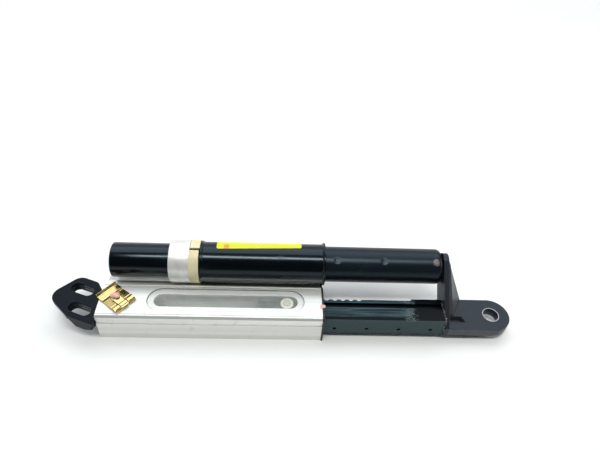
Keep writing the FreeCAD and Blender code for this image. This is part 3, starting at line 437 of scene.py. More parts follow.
def eased(corners, ease, steps=4):
    """The outline through corners, with each one rounded by a quadratic curve of that size."""
    corners = np.asarray(corners, float)
    before = np.roll(corners, 1, axis=0)
    after = np.roll(corners, -1, axis=0)
    reach_in = np.linalg.norm(before - corners, axis=1)
    reach_out = np.linalg.norm(after - corners, axis=1)
    ease = np.broadcast_to(ease, reach_in.shape)
    into = (np.minimum(ease, reach_in * LONGEST_EASE) / reach_in)[:, None]
    out_of = (np.minimum(ease, reach_out * LONGEST_EASE) / reach_out)[:, None]
    start = (corners + (before - corners) * into)[:, None]
    end = (corners + (after - corners) * out_of)[:, None]
    t = np.linspace(0.0, 1.0, steps + 1)[None, :, None]
    curve = (1 - t) ** 2 * start + 2 * t * (1 - t) * corners[:, None] + t ** 2 * end
    return curve.reshape(-1, 2)


def round_the_line(profile, turn):
    """Carries profile points (distance along, radius) round a line parallel to X.

    The point is (along, line y + radius cos(angle), line z + radius sin(angle)).
    """
    along, radius = profile[..., 0], profile[..., 1]
    return np.stack([
        along + 0.0 * turn, tube_line[0] + radius * np.cos(turn),
        tube_line[1] + radius * np.sin(turn)], axis=-1)


def lathe_along(profile, closed=True):
    """A skin of revolution about the tube line; a closed profile makes a ring."""
    return creased_grid(round_the_line(profile[:, None, :], full_turn(160)[None, :]), closed)


def orange_peel(name, colour, gloss, peel, shine):
    """Sprayed paint: a slow orange-peel ripple, faint dust and dull rubs, a cold blue shine."""
    material, tree, shader, place = new_finish(name)
    ripple = noise(tree, place, 420.0, 2.0, roughness=0.5)
    dust = noise(tree, place, 3800.0, 2.0)
    rubs = scuffed(tree, place, 70.0, 0.56, 0.78)
    lighter = tuple(1.9 * part + 0.003 for part in colour)
    base = two_tone(tree, rubs, colour, lighter)
    feed(shader, "Base Color", base)
    height = reckon(tree, "ADD", ripple, dust)
    dulled = reckon(tree, "MULTIPLY_ADD", rubs, 0.16, gloss)
    feed(shader, "Roughness", dulled)
    feed(shader, "Specular IOR Level", shine)
    feed(shader, "Specular Tint", (0.70, 0.88, 1.0, 1.0))
    raise_by(tree, shader, height, peel, 0.00005)
    return material


gloss_black = orange_peel("gloss_black_paint", (0.0004, 0.0012, 0.0024), 0.17, 0.22, 0.42)
TUBE_WALL = 0.0015
NUB_RADIUS = 0.0029
NUB_LENGTH = 0.0014
SPIGOT_RADIUS = 0.00266
ON_THE_AXIS = 0.00001
SLIP = 0.00003
rod_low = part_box("piston_rod")[0]
rod_end = rod_low.x - SLIP
nub_end = rod_low.x - NUB_LENGTH
tube_section = eased([
    (nub_end, ON_THE_AXIS), (nub_end, NUB_RADIUS), (cap_low.x, NUB_RADIUS),
    (cap_low.x, tube_radius), (tube_high.x, tube_radius), (tube_high.x, tube_radius - TUBE_WALL),
    (cap_high.x, tube_radius - TUBE_WALL), (cap_high.x, SPIGOT_RADIUS), (rod_end, SPIGOT_RADIUS),
    (rod_end, ON_THE_AXIS)], (0.0, 0.0009, 0.0004, 0.0014, 0.0003, 0.0003, 0.0, 0.0, 0.0, 0.0), 5)
new_piece("painted_base_tube", lathe_along(tube_section, closed=False), gloss_black, "housing",
          ("base_tube", "base_cap"))


# ----------------------------------------------------------
# Collar. A turned aluminium ring round the joint of the two tubes, bevelled at both rims,
# with the fine rings that the lathe tool leaves.

def turned_metal(name, colour, second, pitch_scale):
    """Lathe-cut metal: rings of fine waves along X, and a slow change of tone round it."""
    material, tree, shader, place = new_finish(name)
    rings = add(tree, "TexWave", {
        "Vector": place, "Scale": pitch_scale, "Distortion": 1.6, "Detail": 3.0,
        "Detail Scale": 4.0}, wave_type="BANDS", bands_direction="X")
    cloud = noise(tree, place, 160.0, 3.0)
    tone = spread(tree, cloud, 0.35, 0.68)
    feed(shader, "Base Color", two_tone(tree, tone, colour, second))
    feed(shader, "Metallic", 0.45)
    feed(shader, "Roughness", spread(tree, rings.outputs["Fac"], 0.0, 1.0, 0.34, 0.46))
    raise_by(tree, shader, rings.outputs["Fac"], 0.3, 0.00003)
    return material


turned_aluminium = turned_metal("turned_aluminium", (0.88, 0.87, 0.84), (0.76, 0.75, 0.72), 420.0)
collar_low, collar_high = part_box("collar_ring")
collar_radius = (collar_high.z - collar_low.z) / 2
sleeve_low, sleeve_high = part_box("guard_sleeve")
lip_radius = (sleeve_high.z - sleeve_low.z) / 2
LIP_HEIGHT = 0.0014
BAND_GAP = 0.00005
COLLAR_BEVEL = 0.0007
sleeve_radius = lip_radius - LIP_HEIGHT
tube_seat = tube_radius + SLIP
sleeve_seat = sleeve_radius + SLIP
collar_step = sleeve_low.x - SLIP
collar_end = collar_high.x - BAND_GAP
collar_skin = lathe_along(eased([
    (collar_low.x, tube_seat), (collar_low.x, collar_radius), (collar_end, collar_radius),
    (collar_end, sleeve_seat), (collar_step, sleeve_seat), (collar_step, tube_seat)],
    (0.0, COLLAR_BEVEL, COLLAR_BEVEL, 0.0, 0.0, 0.0)))
new_piece("turned_collar", collar_skin, turned_aluminium, "housing", ("collar_ring",))


# ----------------------------------------------------------
# Split ring. A cream nylon band snapped round the sleeve beside the collar. Its two ends
# do not quite meet, and one stands a little further along than the other.

def part_turn(section, start, end, steps, lead):
    """Carries a closed section round the tube line from start to end, stepping it along X
    by lead over the turn, and closes both ends with a shrunken copy of the section."""
    share = np.linspace(0.0, 1.0, steps)
    share = np.concatenate(([0.0], share, [1.0]))
    middle = section.mean(axis=0)
    shrink = np.ones(len(share))
    shrink[0] = shrink[-1] = 0.001
    shaped = middle + (section[None] - middle) * shrink[:, None, None]
    shaped[..., 0] += (lead * (share - 0.5))[:, None]
    turn = (start + (end - start) * share)[:, None]
    return creased_grid(round_the_line(shaped, turn)[:, ::-1])


band_low, band_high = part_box("split_ring")
band_radius = (band_high.z - band_low.z) / 2
split_at = math.radians(100.0)
half_gap = 0.00105 / band_radius
band_bore = sleeve_radius + BAND_GAP
band_section = eased([
    (band_low.x, band_bore), (band_low.x, band_radius), (band_high.x, band_radius),
    (band_high.x, band_bore)], 0.0004)
band_skin = part_turn(band_section, split_at + half_gap, split_at + FULL_TURN - half_gap,
                      steps=150, lead=0.0005)
cream_nylon = moulded_plastic("cream_nylon", (0.97, 0.86, 0.55), 0.36, 1400.0)
new_piece("cream_split_band", band_skin, cream_nylon, "housing", ("split_ring",))


# ----------------------------------------------------------
# Guard sleeve. A black painted tube over the plunger. A small bead marks where it leaves
# the split ring, and its mouth is flared and rolled into a thin lip.

plunger_low, plunger_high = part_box("plunger_tube")
plunger_radius = (plunger_high.z - plunger_low.z) / 2
PLUNGER_GAP = 0.00045
sleeve_bore = plunger_radius + PLUNGER_GAP
bead = band_high.x
bead_radius = sleeve_radius + 0.0008
sleeve_skin = lathe_along(eased([
    (sleeve_low.x, sleeve_bore), (sleeve_low.x, sleeve_radius),
    (bead, sleeve_radius), (bead + 0.0005, bead_radius),
    (bead + 0.0018, bead_radius), (bead + 0.0028, sleeve_radius),
    (sleeve_high.x - 0.0024, sleeve_radius), (sleeve_high.x - 0.0013, lip_radius),
    (sleeve_high.x, lip_radius), (sleeve_high.x, sleeve_bore)], 0.0006))
new_piece("painted_sleeve", sleeve_skin, gloss_black, "housing", ("guard_sleeve",))


# ----------------------------------------------------------
# Label. A blank lemon-yellow film stuck round the back and over the top of the sleeve. Its
# corners are rounded, its front edge runs a little askew, and its print is an orange stripe.

label_low, label_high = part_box("sleeve_label")
LABEL_CORNER = 0.0018
LABEL_BACK = math.radians(-13.0)
FILM = 0.0001


def label_grid(rows, columns, stands_off):
    """Film over the sleeve: x runs along it and the angle round it, from behind to the top.

    Near each end of the turn the film draws in from its sides by a quarter circle, which
    rounds its corners; the front edge's angle falls evenly along x.
    """
    share_x = np.linspace(0.0, 1.0, columns)[None, :]
    share_a = (0.5 - 0.5 * np.cos(np.linspace(0.0, math.pi, rows)))[:, None]
    width = np.radians(93.0 - 9.0 * share_x) - LABEL_BACK
    arc = width * share_a * sleeve_radius
    left = np.minimum(arc, width * sleeve_radius - arc)
    into = np.clip(1.0 - left / LABEL_CORNER, 0.0, 1.0)
    draw = LABEL_CORNER * (1.0 - np.sqrt(1.0 - into ** 2))
    x_low = label_low.x + draw
    along = x_low + (label_high.x - draw - x_low) * share_x
    lift = sleeve_radius + stands_off + 0.00004 * np.sin(along * 700.0) * share_a ** 6
    return round_the_line(np.stack([along, lift], axis=-1), LABEL_BACK + width * share_a)


def off_by(tree, value, middle):
    """How far the value is from the middle, either way."""
    return reckon(tree, "ABSOLUTE", reckon(tree, "SUBTRACT", value, middle))


def film_print():
    """Glossy film: lemon yellow, rubbed paler in places, an orange stripe near one end."""
    material, tree, shader, place = new_finish("lemon_film")
    parts = add(tree, "SeparateXYZ", {0: place}).outputs
    wander = noise(tree, place, 240.0, 2.0)
    edge = reckon(tree, "MULTIPLY_ADD", wander, 0.0012, parts["X"])
    middle = label_low.x + 0.0085
    stripe = spread(tree, off_by(tree, edge, middle), 0.0016, 0.0026, 1.0, 0.0)
    high = spread(tree, parts["Z"], label_high.z - 0.0012, label_high.z - 0.0004, 0.0, 0.8)
    printed = reckon(tree, "MULTIPLY", stripe, high)
    patch_mask = scuffed(tree, place, 130.0, 0.62, 0.80)
    yellow = two_tone(tree, patch_mask, (0.72, 0.73, 0.008), (0.80, 0.80, 0.10))
    base = two_tone(tree, printed, yellow, (0.70, 0.26, 0.02))
    feed(shader, "Base Color", base)
    feed(shader, "Roughness", spread(tree, patch_mask, 0.0, 1.0, 0.24, 0.42))
    raise_by(tree, shader, wander, 0.15, 0.00004)
    return material


label_mesh = smooth_grid(label_grid(72, 90, 1.2 * FILM)[:, ::-1], wrap_columns=False)
yellow_label = new_piece("yellow_label", label_mesh, film_print(), "housing",
                         ("sleeve_label",))
film = yellow_label.modifiers.new("film", "SOLIDIFY")
film.thickness = FILM
film.offset = -1.0


# ----------------------------------------------------------
# Plunger tube. Steel tube in a satin black coat that slides in the sleeve. Its closed end is
# spun round; two pressed dimples and a bare cross rivet hold what is inside it.

rivet_low, rivet_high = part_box("plunger_rivet")
rivet_middle = (rivet_low.x + rivet_high.x) / 2
spot_turn = math.radians(120.0)
dimples = (plunger_high.x - 0.0862, plunger_high.x - 0.0486)
PLUNGER_WALL = 0.0014
SPUN_ROUND = 0.0040
END_STANDS_IN = 0.0002
DIMPLE_DEPTH = 0.0004
DIMPLE_REACH = 0.0024


def plunger_grid(columns, segments):
    """The tube's outer wall from its mouth to the middle of its end, about the tube line.

    Each dimple takes a bell curve of depth off the radius, by the distance from its centre.
    """
    end = plunger_high.x - END_STANDS_IN
    round_from = end - SPUN_ROUND
    corner = np.linspace(0.0, math.pi / 2, 10)[1:]
    along = np.concatenate([
        [plunger_low.x], np.linspace(plunger_low.x, round_from, columns),
        round_from + SPUN_ROUND * np.sin(corner), [end]])
    radius = np.concatenate([
        [plunger_radius - PLUNGER_WALL], np.full(columns, plunger_radius),
        plunger_radius - SPUN_ROUND + SPUN_ROUND * np.cos(corner), [ON_THE_AXIS]])
    turn = full_turn(segments)[None, :]
    along = along[:, None] + 0.0 * turn
    radius = radius[:, None] + 0.0 * turn
    aside = (turn - spot_turn) * plunger_radius
    for middle in dimples:
        away = np.hypot(along - middle, aside)
        radius = radius - DIMPLE_DEPTH * np.exp(-(away / DIMPLE_REACH) ** 4)
    return round_the_line(np.stack([along, radius], axis=-1), turn)


def satin_coat():
    """Satin black coat: long faint rub lines from sliding, a fine tooth, an uneven sheen."""
    material, tree, shader, place = new_finish("satin_black_coat")
    lines = drawn(tree, place, 14.0, 700.0)
    rubs = scuffed(tree, place, 55.0, 0.55, 0.75)
    tooth = noise(tree, place, 2400.0, 2.0)
    slid = spread(tree, lines["Bands"], 0.45, 0.75, 0.0, 0.6)
    base = two_tone(tree, slid, (0.0020, 0.0040, 0.0070), (0.008, 0.0130, 0.0170))
    base = two_tone(tree, rubs, base, (0.009, 0.016, 0.019))
    feed(shader, "Base Color", base)
    feed(shader, "Roughness", spread(tree, lines["Lines"], 0.3, 0.7, 0.27, 0.38))
    feed(shader, "Specular IOR Level", 0.36)
    feed(shader, "Specular Tint", (0.66, 0.88, 1.0, 1.0))
    raise_by(tree, shader, tooth, 0.25, 0.00004)
    return material


new_piece("coated_plunger", creased_grid(plunger_grid(240, 176)), satin_coat(), "slider",
          ("plunger_tube",))


def bare_steel(name, colour, second, gloss):
    """Bare or plated steel: crossed fine scratches over a cloudy tone."""
    material, tree, shader, place = new_finish(name)
    cloud = noise(tree, place, 620.0, 4.0, distortion=0.8)
    scratch = noise(tree, place, 3000.0, 2.0)
    tone = spread(tree, cloud, 0.35, 0.66)
    feed(shader, "Base Color", two_tone(tree, tone, colour, second))
    feed(shader, "Metallic", 0.9)
    rough = spread(tree, cloud, 0.3, 0.7, gloss, gloss + 0.18)
    feed(shader, "Roughness", rough)
    raise_by(tree, shader, scratch, 0.3, 0.00004)
    return material


def domed_head(middle, radius, rise, at_turn, bed):
    """A low dome on the tube's wall: height falls from its centre as a cosine.

    It lies at the angle at_turn round the tube line, its rim bedded at radius bed.
    """
    part, turn = np.meshgrid(np.linspace(0.0, 1.0, 9), full_turn(40), indexing="ij")
    away = radius * np.cos(part * math.pi / 2)
    lift = bed + rise * np.sin(part * math.pi / 2) ** 0.8
    outward = np.array([0.0, math.cos(at_turn), math.sin(at_turn)])
    sideways = np.array([0.0, -math.sin(at_turn), math.cos(at_turn)])
    centre = np.array([middle, *tube_line])
    return smooth_grid(
        centre + (away * np.cos(turn))[..., None] * np.array([1.0, 0.0, 0.0])
        + (away * np.sin(turn))[..., None] * sideways + lift[..., None] * outward)


rivet_steel = bare_steel("rivet_steel", (0.20, 0.17, 0.165), (0.11, 0.095, 0.09), 0.45)
rivet_mesh = domed_head(rivet_middle, radius=0.0029, rise=0.0005, at_turn=spot_turn,
                        bed=plunger_radius - 0.0003)
new_piece("rivet_end", rivet_mesh, rivet_steel, "slider")
give_finish("plunger_rivet", rivet_steel)


# ----------------------------------------------------------
# Slider rail. Steel channel in black paint. Its top is scraped to blue-grey along the stroke,
# bare where it stays inside the housing, and a run of weld joins its foot to the end bracket.

rail_low, rail_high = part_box("slider_rail")
RAIL_INSIDE = 0.086
SCRAPED_TO = 0.158


def scraped_rail():
    """Paint worn by position: ragged streaks on top, black elsewhere; the even grey in front is
    painted light, for the table's light on that face.
    """
    material, tree, shader, place = new_finish("scraped_rail")
    parts = add(tree, "SeparateXYZ", {0: place}).outputs
    lines = drawn(tree, place, 32.0, 1300.0)
    specks = noise(tree, place, 1500.0, 3.0, roughness=0.7)
    slow = noise(tree, place, 260.0, 2.0)
    ragged = reckon(tree, "MULTIPLY_ADD", slow, 0.016, parts["X"])
    top = spread(tree, parts["Z"], rail_high.z - 0.0005, rail_high.z - 0.0002)
    # The front face is painted an even grey: painted light, for the light that the table throws up
    # on it.
    front = spread(tree, parts["Y"], rail_low.y + 0.0002, rail_low.y + 0.0005, 0.85, 0.0)
    worn = spread(tree, ragged, SCRAPED_TO + 0.007, SCRAPED_TO + 0.011, 1.0, 0.0)
    on_top = reckon(tree, "MULTIPLY", top, worn)
    streaks = spread(tree, lines["Lines"], 0.40, 0.60, 0.15, 1.0)
    inner = spread(tree, parts["Y"], rail_low.y + 0.0030, rail_low.y + 0.0036, 0.03, 1.0)
    kept = reckon(tree, "MULTIPLY", streaks, inner)
    streaked = reckon(tree, "MULTIPLY", on_top, kept)
    base = two_tone(tree, streaked, (0.0012, 0.003, 0.005), (0.050, 0.092, 0.110))
    base = two_tone(tree, front, base, (0.060, 0.094, 0.102))
    fringe = spread(tree, off_by(tree, ragged, SCRAPED_TO + 0.006), 0.001, 0.006, 1.0, 0.0)
    grains = spread(tree, specks, 0.53, 0.62)
    chips = reckon(tree, "MULTIPLY", fringe, grains)
    chips_on_top = reckon(tree, "MULTIPLY", chips, top)
    base = two_tone(tree, chips_on_top, base, (0.30, 0.33, 0.33))
    bare = spread(tree, parts["X"], RAIL_INSIDE - 0.002, RAIL_INSIDE + 0.001, 1.0, 0.0)
    base = two_tone(tree, bare, base, (0.058, 0.076, 0.075))
    feed(shader, "Base Color", base)
    combed = spread(tree, lines["Lines"], 0.3, 0.7, 0.20, 0.34)
    dulled = reckon(tree, "MULTIPLY_ADD", on_top, 0.14, combed)
    rough = reckon(tree, "MULTIPLY_ADD", front, 0.14, dulled)
    feed(shader, "Roughness", rough)
    feed(shader, "Specular IOR Level", 0.08)
    raise_by(tree, shader, lines["Lines"], 0.4, 0.00008)
    return material


give_finish("slider_rail", scraped_rail())
soften_edges("slider_rail", 0.0002)


def weld_run(corners, thick, seed):
    """A bead along a path of corners: its radius and its line swell and wander by sines."""
    corners = np.array(corners)
    steps = np.linalg.norm(np.diff(corners, axis=0), axis=1)
    reach = np.concatenate([[0.0], np.cumsum(steps)])
    walk = np.linspace(0.0, reach[-1], 150)
    centre = np.stack([np.interp(walk, reach, corners[:, axis]) for axis in range(3)], axis=-1)
    swell = 1.0 + 0.22 * np.sin(walk * 2100.0 + seed) + 0.16 * np.sin(walk * 3700.0 + 2.0 * seed)
    taper = np.sqrt(np.clip(np.minimum(walk, reach[-1] - walk) / (1.5 * thick), 0.0, 1.0))
    radius = np.maximum(thick * swell * taper, ON_THE_AXIS)[:, None, None]
    centre[:, 0] += 0.0002 * np.sin(walk * 900.0 + seed)
    ahead = np.gradient(centre, axis=0)
    ahead /= np.linalg.norm(ahead, axis=1)[:, None]
    side = np.tile([1.0, 0.0, 0.0], (len(walk), 1))
    up = np.cross(ahead, side)
    up /= np.linalg.norm(up, axis=1)[:, None]
    turn = full_turn(16)[None, :, None]
    return smooth_grid(
        centre[:, None] + radius * (np.cos(turn) * side[:, None] + np.sin(turn) * up[:, None]))


def weld_metal():
    """Painted weld: black in the hollows, flecked with bright slag on its high spots."""
    material, tree, shader, place = new_finish("weld_metal")
    flecks = noise(tree, place, 900.0, 4.0, roughness=0.7)
    bright = spread(tree, flecks, 0.54, 0.62)
    feed(shader, "Base Color", two_tone(tree, bright, (0.006, 0.007, 0.009), (0.34, 0.35, 0.36)))
    feed(shader, "Roughness", spread(tree, bright, 0.0, 1.0, 0.30, 0.48))
    raise_by(tree, shader, flecks, 0.6, 0.0003)
    return material


weld_line = rail_high.x - 0.0004
weld_path = [(weld_line, 0.0045, rail_high.z), (weld_line, rail_low.y, rail_high.z),
             (weld_line, rail_low.y, 0.0080)]
foot_weld = weld_run(weld_path, thick=0.0006, seed=0.4)
new_piece("foot_weld", foot_weld, weld_metal(), "slider")


# ----------------------------------------------------------
# Window and stop. A frosted plastic strip lies in the shallow seat round the housing's slot.
# Under it ride the stop's cream washer and its low pin.

stop_low, stop_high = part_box("stop_washer")
pane_low, pane_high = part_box("slot_window")
pane_reach = (pane_high.y - pane_low.y) / 2
slot_ends = (pane_low.x + pane_reach, pane_high.x - pane_reach)
PANE_CORE = 0.001
PANE_EASE_IN = 0.0003
PANE_EASE_UP = 0.0001


def upright_lathe(profile, centre):
    """A profile of (radius, height) carried round an upright axis at the centre."""
    profile = np.maximum(np.asarray(profile, float), [ON_THE_AXIS, -1.0])
    turn = full_turn(64)[None, :]
    radius, height = profile[:, :1], profile[:, 1:]
    return creased_grid(np.stack([
        centre[0] + radius * np.cos(turn), centre[1] + radius * np.sin(turn),
        height + 0.0 * turn], axis=-1)[::-1])


def slot_outline(radius, steps=24):
    """The outline of the slot at that reach: two half circles joined by straight sides."""
    half = np.linspace(-math.pi / 2, math.pi / 2, steps)
    bow = np.stack([slot_ends[1] + radius * np.cos(half), radius * np.sin(half)], axis=-1)
    stern = np.stack([slot_ends[0] - radius * np.cos(half), -radius * np.sin(half)], axis=-1)
    return np.concatenate([bow, stern])


def pane_mesh(low, high, radius):
    """A flat plate from rings of the slot outline: in under it, out round its rim, in on top."""
    rings = [(PANE_CORE, low), (radius - PANE_EASE_IN, low), (radius, low + PANE_EASE_UP),
             (radius, high - PANE_EASE_UP), (radius - PANE_EASE_IN, high), (PANE_CORE, high)]
    layers = []
    for reach, height in rings:
        ring = slot_outline(reach)
        layers.append(np.column_stack([ring, np.full(len(ring), height)]))
    spine = np.clip(layers[0][:, 0], *slot_ends)
    first, last = (np.column_stack([spine, 0.0 * spine, np.full(len(spine), height)])
                   for height in (low, high))
    return creased_grid(np.array([first, *layers, last]))


def frosted_plastic():
    """Half-clear plastic: cloudier and duller in streaks along it, with small nicks."""
    material, tree, shader, place = new_finish("frosted_window")
    lines = drawn(tree, place, 30.0, 420.0)
    cloud = noise(tree, place, 110.0, 5.0, roughness=0.6)
    tone = spread(tree, cloud, 0.35, 0.65)
    feed(shader, "Base Color", two_tone(tree, tone, (0.84, 0.88, 0.86), (0.90, 0.93, 0.91)))
    feed(shader, "Roughness", spread(tree, lines["Lines"], 0.3, 0.7, 0.20, 0.36))
    feed(shader, "Alpha", spread(tree, cloud, 0.3, 0.7, 0.09, 0.14))
    raise_by(tree, shader, lines["Lines"], 0.2, 0.00006)
    return material


pane = pane_mesh(pane_low.z, pane_high.z, pane_reach)
new_piece("frosted_window", pane, frosted_plastic(), "housing", ("slot_window",))


def painted_shadow_cord(reach, height, thick):
    """A thin grey cord of round section laid along the slot's outline at that reach and height:
    painted shade, a dark line for the shadow in the gap round the pane.
    """
    ring = slot_outline(reach)
    ahead = np.roll(ring, -1, axis=0) - np.roll(ring, 1, axis=0)
    ahead /= np.linalg.norm(ahead, axis=1)[:, None]
    outward = np.stack([ahead[:, 1], -ahead[:, 0]], axis=-1)
    turn = full_turn(10)
    flat = ring[:, None] + thick * np.cos(turn)[None, :, None] * outward[:, None]
    height = height + thick * np.sin(turn)[None, :] + 0.0 * flat[..., 0]
    return smooth_grid(np.concatenate([flat, height[..., None]], axis=-1), wrap_rows=True)


# The cord round the pane is painted shade, not a real seal: a thin grey line where the gap between
# the pane and its seat lies in shadow.
shadow_line_grey = moulded_plastic("shadow_line_grey", (0.17, 0.18, 0.175), 0.55, 1900.0)
shadow_cord_mesh = painted_shadow_cord(pane_reach + 0.0001, pane_high.z, thick=0.00026)
new_piece("painted_shadow_cord", shadow_cord_mesh, shadow_line_grey, "housing")
pin_centre = ((stop_low.x + stop_high.x) / 2, 0.0)
cream_enamel = moulded_plastic("cream_enamel", (0.80, 0.77, 0.66), 0.34, 1800.0)
# The pin takes a darker copy of the washer's cream.
darker_cream = moulded_plastic("darker_cream", (0.52, 0.50, 0.42), 0.42, 2200.0)
BORE, RIM = 0.0026, 0.0051
washer_outline = eased([
    (BORE, stop_low.z), (RIM, stop_low.z), (RIM, stop_high.z), (BORE, stop_high.z)], 0.0003)
washer_skin = upright_lathe(np.vstack([washer_outline, washer_outline[:1]]), pin_centre)
new_piece("cream_washer", washer_skin, cream_enamel, "slider", ("stop_washer",))
pin_low, pin_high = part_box("stop_pin")
SHANK, HEAD, HEAD_TOP = 0.0025, 0.0031, 0.0026
under_head = stop_high.z + 0.00002
pin_skin = upright_lathe([
    (0.0, pin_low.z), (SHANK, pin_low.z), (SHANK, under_head), (HEAD, under_head),
    (HEAD, pin_high.z - 0.0001), (HEAD_TOP, pin_high.z), (0.0, pin_high.z)], pin_centre)
new_piece("low_stop_pin", pin_skin, darker_cream, "slider", ("stop_pin",))


# ----------------------------------------------------------
# End bracket. Bent and welded plate in satin charcoal paint; its edges catch the light. The
# eye in its lug is lined with a bright steel bush.

charcoal = orange_peel("charcoal_paint", (0.019, 0.021, 0.027), 0.40, 0.5, 0.36)
ARM_FACE = 0.1879
LUG_TOP = 0.0140


def over_paint(material, mask, colour):
    """Lays a colour over the one that the material has, where the mask is up."""
    tree = material.node_tree
    shader = tree.nodes["Principled BSDF"]
    painted = shader.inputs["Base Color"].links[0].from_socket
    feed(shader, "Base Color", two_tone(tree, mask, painted, colour))


def paint_light_on_sides(material):
    """Greys the bracket's gusset and the edges of its lug: painted light, patchy, where the light
    from the right falls on them.
    """
    tree = material.node_tree
    place = add(tree, "TexCoord").outputs["Object"]
    parts = add(tree, "SeparateXYZ", {0: place}).outputs
    beyond_arm = spread(tree, parts["X"], ARM_FACE - 0.0003, ARM_FACE + 0.0003)
    side = spread(tree, off_by(tree, parts["Z"], LUG_TOP), 0.0004, 0.0010)
    patch_mask = noise(tree, place, 90.0, 4.0, roughness=0.6)
    amount = spread(tree, patch_mask, 0.30, 0.60, 0.55, 1.0)
    lit_faces = reckon(tree, "MULTIPLY", beyond_arm, side)
    over_paint(material, reckon(tree, "MULTIPLY", lit_faces, amount), (0.078, 0.080, 0.086))


# The gusset and the lug's sides are painted lighter: painted light for the light from the right.
paint_light_on_sides(charcoal)
give_finish("end_bracket", charcoal)
soften_edges("end_bracket", 0.00045, 3)


def lined_eye():
    """Steel rim worn bright above; blued and dark down the bore, with rings of fine wear."""
    material, tree, shader, place = new_finish("eye_steel")
    parts = add(tree, "SeparateXYZ", {0: place}).outputs
    cloud = noise(tree, place, 700.0, 4.0)
    wear = add(tree, "TexWave", {"Vector": place, "Scale": 700.0, "Distortion": 2.0},
               bands_direction="Z")
    edge = reckon(tree, "MULTIPLY_ADD", cloud, 0.0005, parts["Z"])
    above = spread(tree, edge, 0.01385, 0.01405)
    feed(shader, "Base Color", two_tone(tree, above, (0.030, 0.040, 0.060), (0.60, 0.62, 0.65)))
    feed(shader, "Metallic", 0.7)
    feed(shader, "Roughness", spread(tree, wear.outputs["Fac"], 0.0, 1.0, 0.28, 0.42))
    raise_by(tree, shader, wear.outputs["Fac"], 0.3, 0.00005)
    return material


give_finish("eye_bush", lined_eye())
soften_edges("eye_bush", 0.0002)


# ----------------------------------------------------------
# Hinge bracket. Two plates in blue-black paint that turn together under the spring clip,
# on a steel bush.

SLOT_WALLS = ((-0.0978, 0.0114), (-0.0947, -0.0075))
SLOT_REACH = (0.0056, 0.0049)


def close_to(tree, parts, centre, reach):
    """1 inside a rectangle on plan with that centre and half size, 0 outside it."""
    shares = [spread(tree, off_by(tree, parts[axis], middle), half - 0.0003, half, 1.0, 0.0)
              for axis, middle, half in zip("XY", centre, reach)]
    return reckon(tree, "MULTIPLY", *shares)


def ribbed_slots(material):
    """Adds pale ribs, level bands of a wave in height, to the walls of the two bolt slots."""
    tree = material.node_tree
    place = add(tree, "TexCoord").outputs["Object"]
    parts = add(tree, "SeparateXYZ", {0: place}).outputs
    near = reckon(tree, "MAXIMUM", *(close_to(tree, parts, centre, SLOT_REACH)
                                     for centre in SLOT_WALLS))
    below = spread(tree, parts["Z"], 0.0215, 0.0221, 1.0, 0.0)
    bands = add(tree, "TexWave", {"Vector": place, "Scale": 95.0, "Distortion": 0.4},
                bands_direction="Z")
    rib = spread(tree, bands.outputs["Fac"], 0.45, 0.70)
    masked = reckon(tree, "MULTIPLY", near, below)
    over_paint(material, reckon(tree, "MULTIPLY", masked, rib), (0.20, 0.215, 0.235))


blue_black = orange_peel("blue_black_paint", (0.0022, 0.0030, 0.0068), 0.34, 0.45, 0.13)
ribbed_slots(blue_black)
for plate in ("hinge_plate", "hinge_doubler"):
    give_finish(plate, blue_black)
    soften_edges(plate, 0.0004, 3)
worked_steel = bare_steel("worked_steel", (0.50, 0.50, 0.49), (0.34, 0.34, 0.33), 0.32)
give_finish("hinge_bush", worked_steel)


# ----------------------------------------------------------
# Pivot pin and spring clip. The pin's narrow end stands through the clip and is dabbed with
# pink paint. The clip is folded double from zinc-plated sheet: a lip and a raised band at one
# edge, a half-round roll at the other, cut by two slits that free a tongue in its middle.

housing_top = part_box("spring_clip")[0].z
pivot_low, pivot_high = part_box("swivel_pin")
pivot = ((pivot_low.x + pivot_high.x) / 2, 0.0)
CLIP_ANGLE = math.radians(-39.0)
TONGUE_MIDDLE = -0.00035
TONGUE_HALF = 0.0030
SLIT = 0.0007
ROLL_MIDDLE = 0.0098
ROLL_REACH = 0.0030
ROLL_RISE = 0.0024
VALLEY = 0.0006


def zinc_plate():
    """Yellow passivated zinc: cloudy gold and olive patches, rubbed brighter along streaks."""
    material, tree, shader, place = new_finish("yellow_zinc")
    cloud = noise(tree, place, 150.0, 2.0, distortion=0.8)
    streak = noise(tree, place, 900.0, 2.0)
    tone = spread(tree, cloud, 0.38, 0.62)
    base = two_tone(tree, tone, (0.80, 0.62, 0.29), (0.68, 0.53, 0.23))
    feed(shader, "Base Color", base)
    feed(shader, "Metallic", 1.0)
    feed(shader, "Roughness", spread(tree, streak, 0.3, 0.7, 0.14, 0.24))
    raise_by(tree, shader, streak, 0.06, 0.00003)
    return material


def turned_out(along, across, height):
    """Sets points drawn in the clip's own directions at its angle, on top of the housing."""
    cos, sin = math.cos(CLIP_ANGLE), math.sin(CLIP_ANGLE)
    return np.stack([
        pivot[0] + along * cos - across * sin, along * sin + across * cos,
        housing_top + height], axis=-1)


def clip_height(along, across):
    """A raised band, a valley that climbs to a half-round roll, and a proud middle tongue.

    Along the clip the height is read from a polyline and the roll's circle; across it the
    tongue lifts it to a flat between its two sides.
    """
    stations = [-0.0116, -0.0106, -0.0098, -0.0042, -0.0030, 0.0062, 0.0070]
    heights = [0.0034, 0.0013, 0.0012, 0.0017, VALLEY, 0.0021, 0.0021]
    height = np.interp(along, stations, heights)
    bow = np.sqrt(np.clip(1.0 - ((along - ROLL_MIDDLE) / ROLL_REACH) ** 2, 0.0, 1.0))
    height = np.where(along > ROLL_MIDDLE - ROLL_REACH, VALLEY + ROLL_RISE * bow, height)
    on_tongue = (np.abs(across - TONGUE_MIDDLE) < TONGUE_HALF) & (along > -0.0020)
    return np.where(on_tongue, np.maximum(height, ROLL_RISE), height)


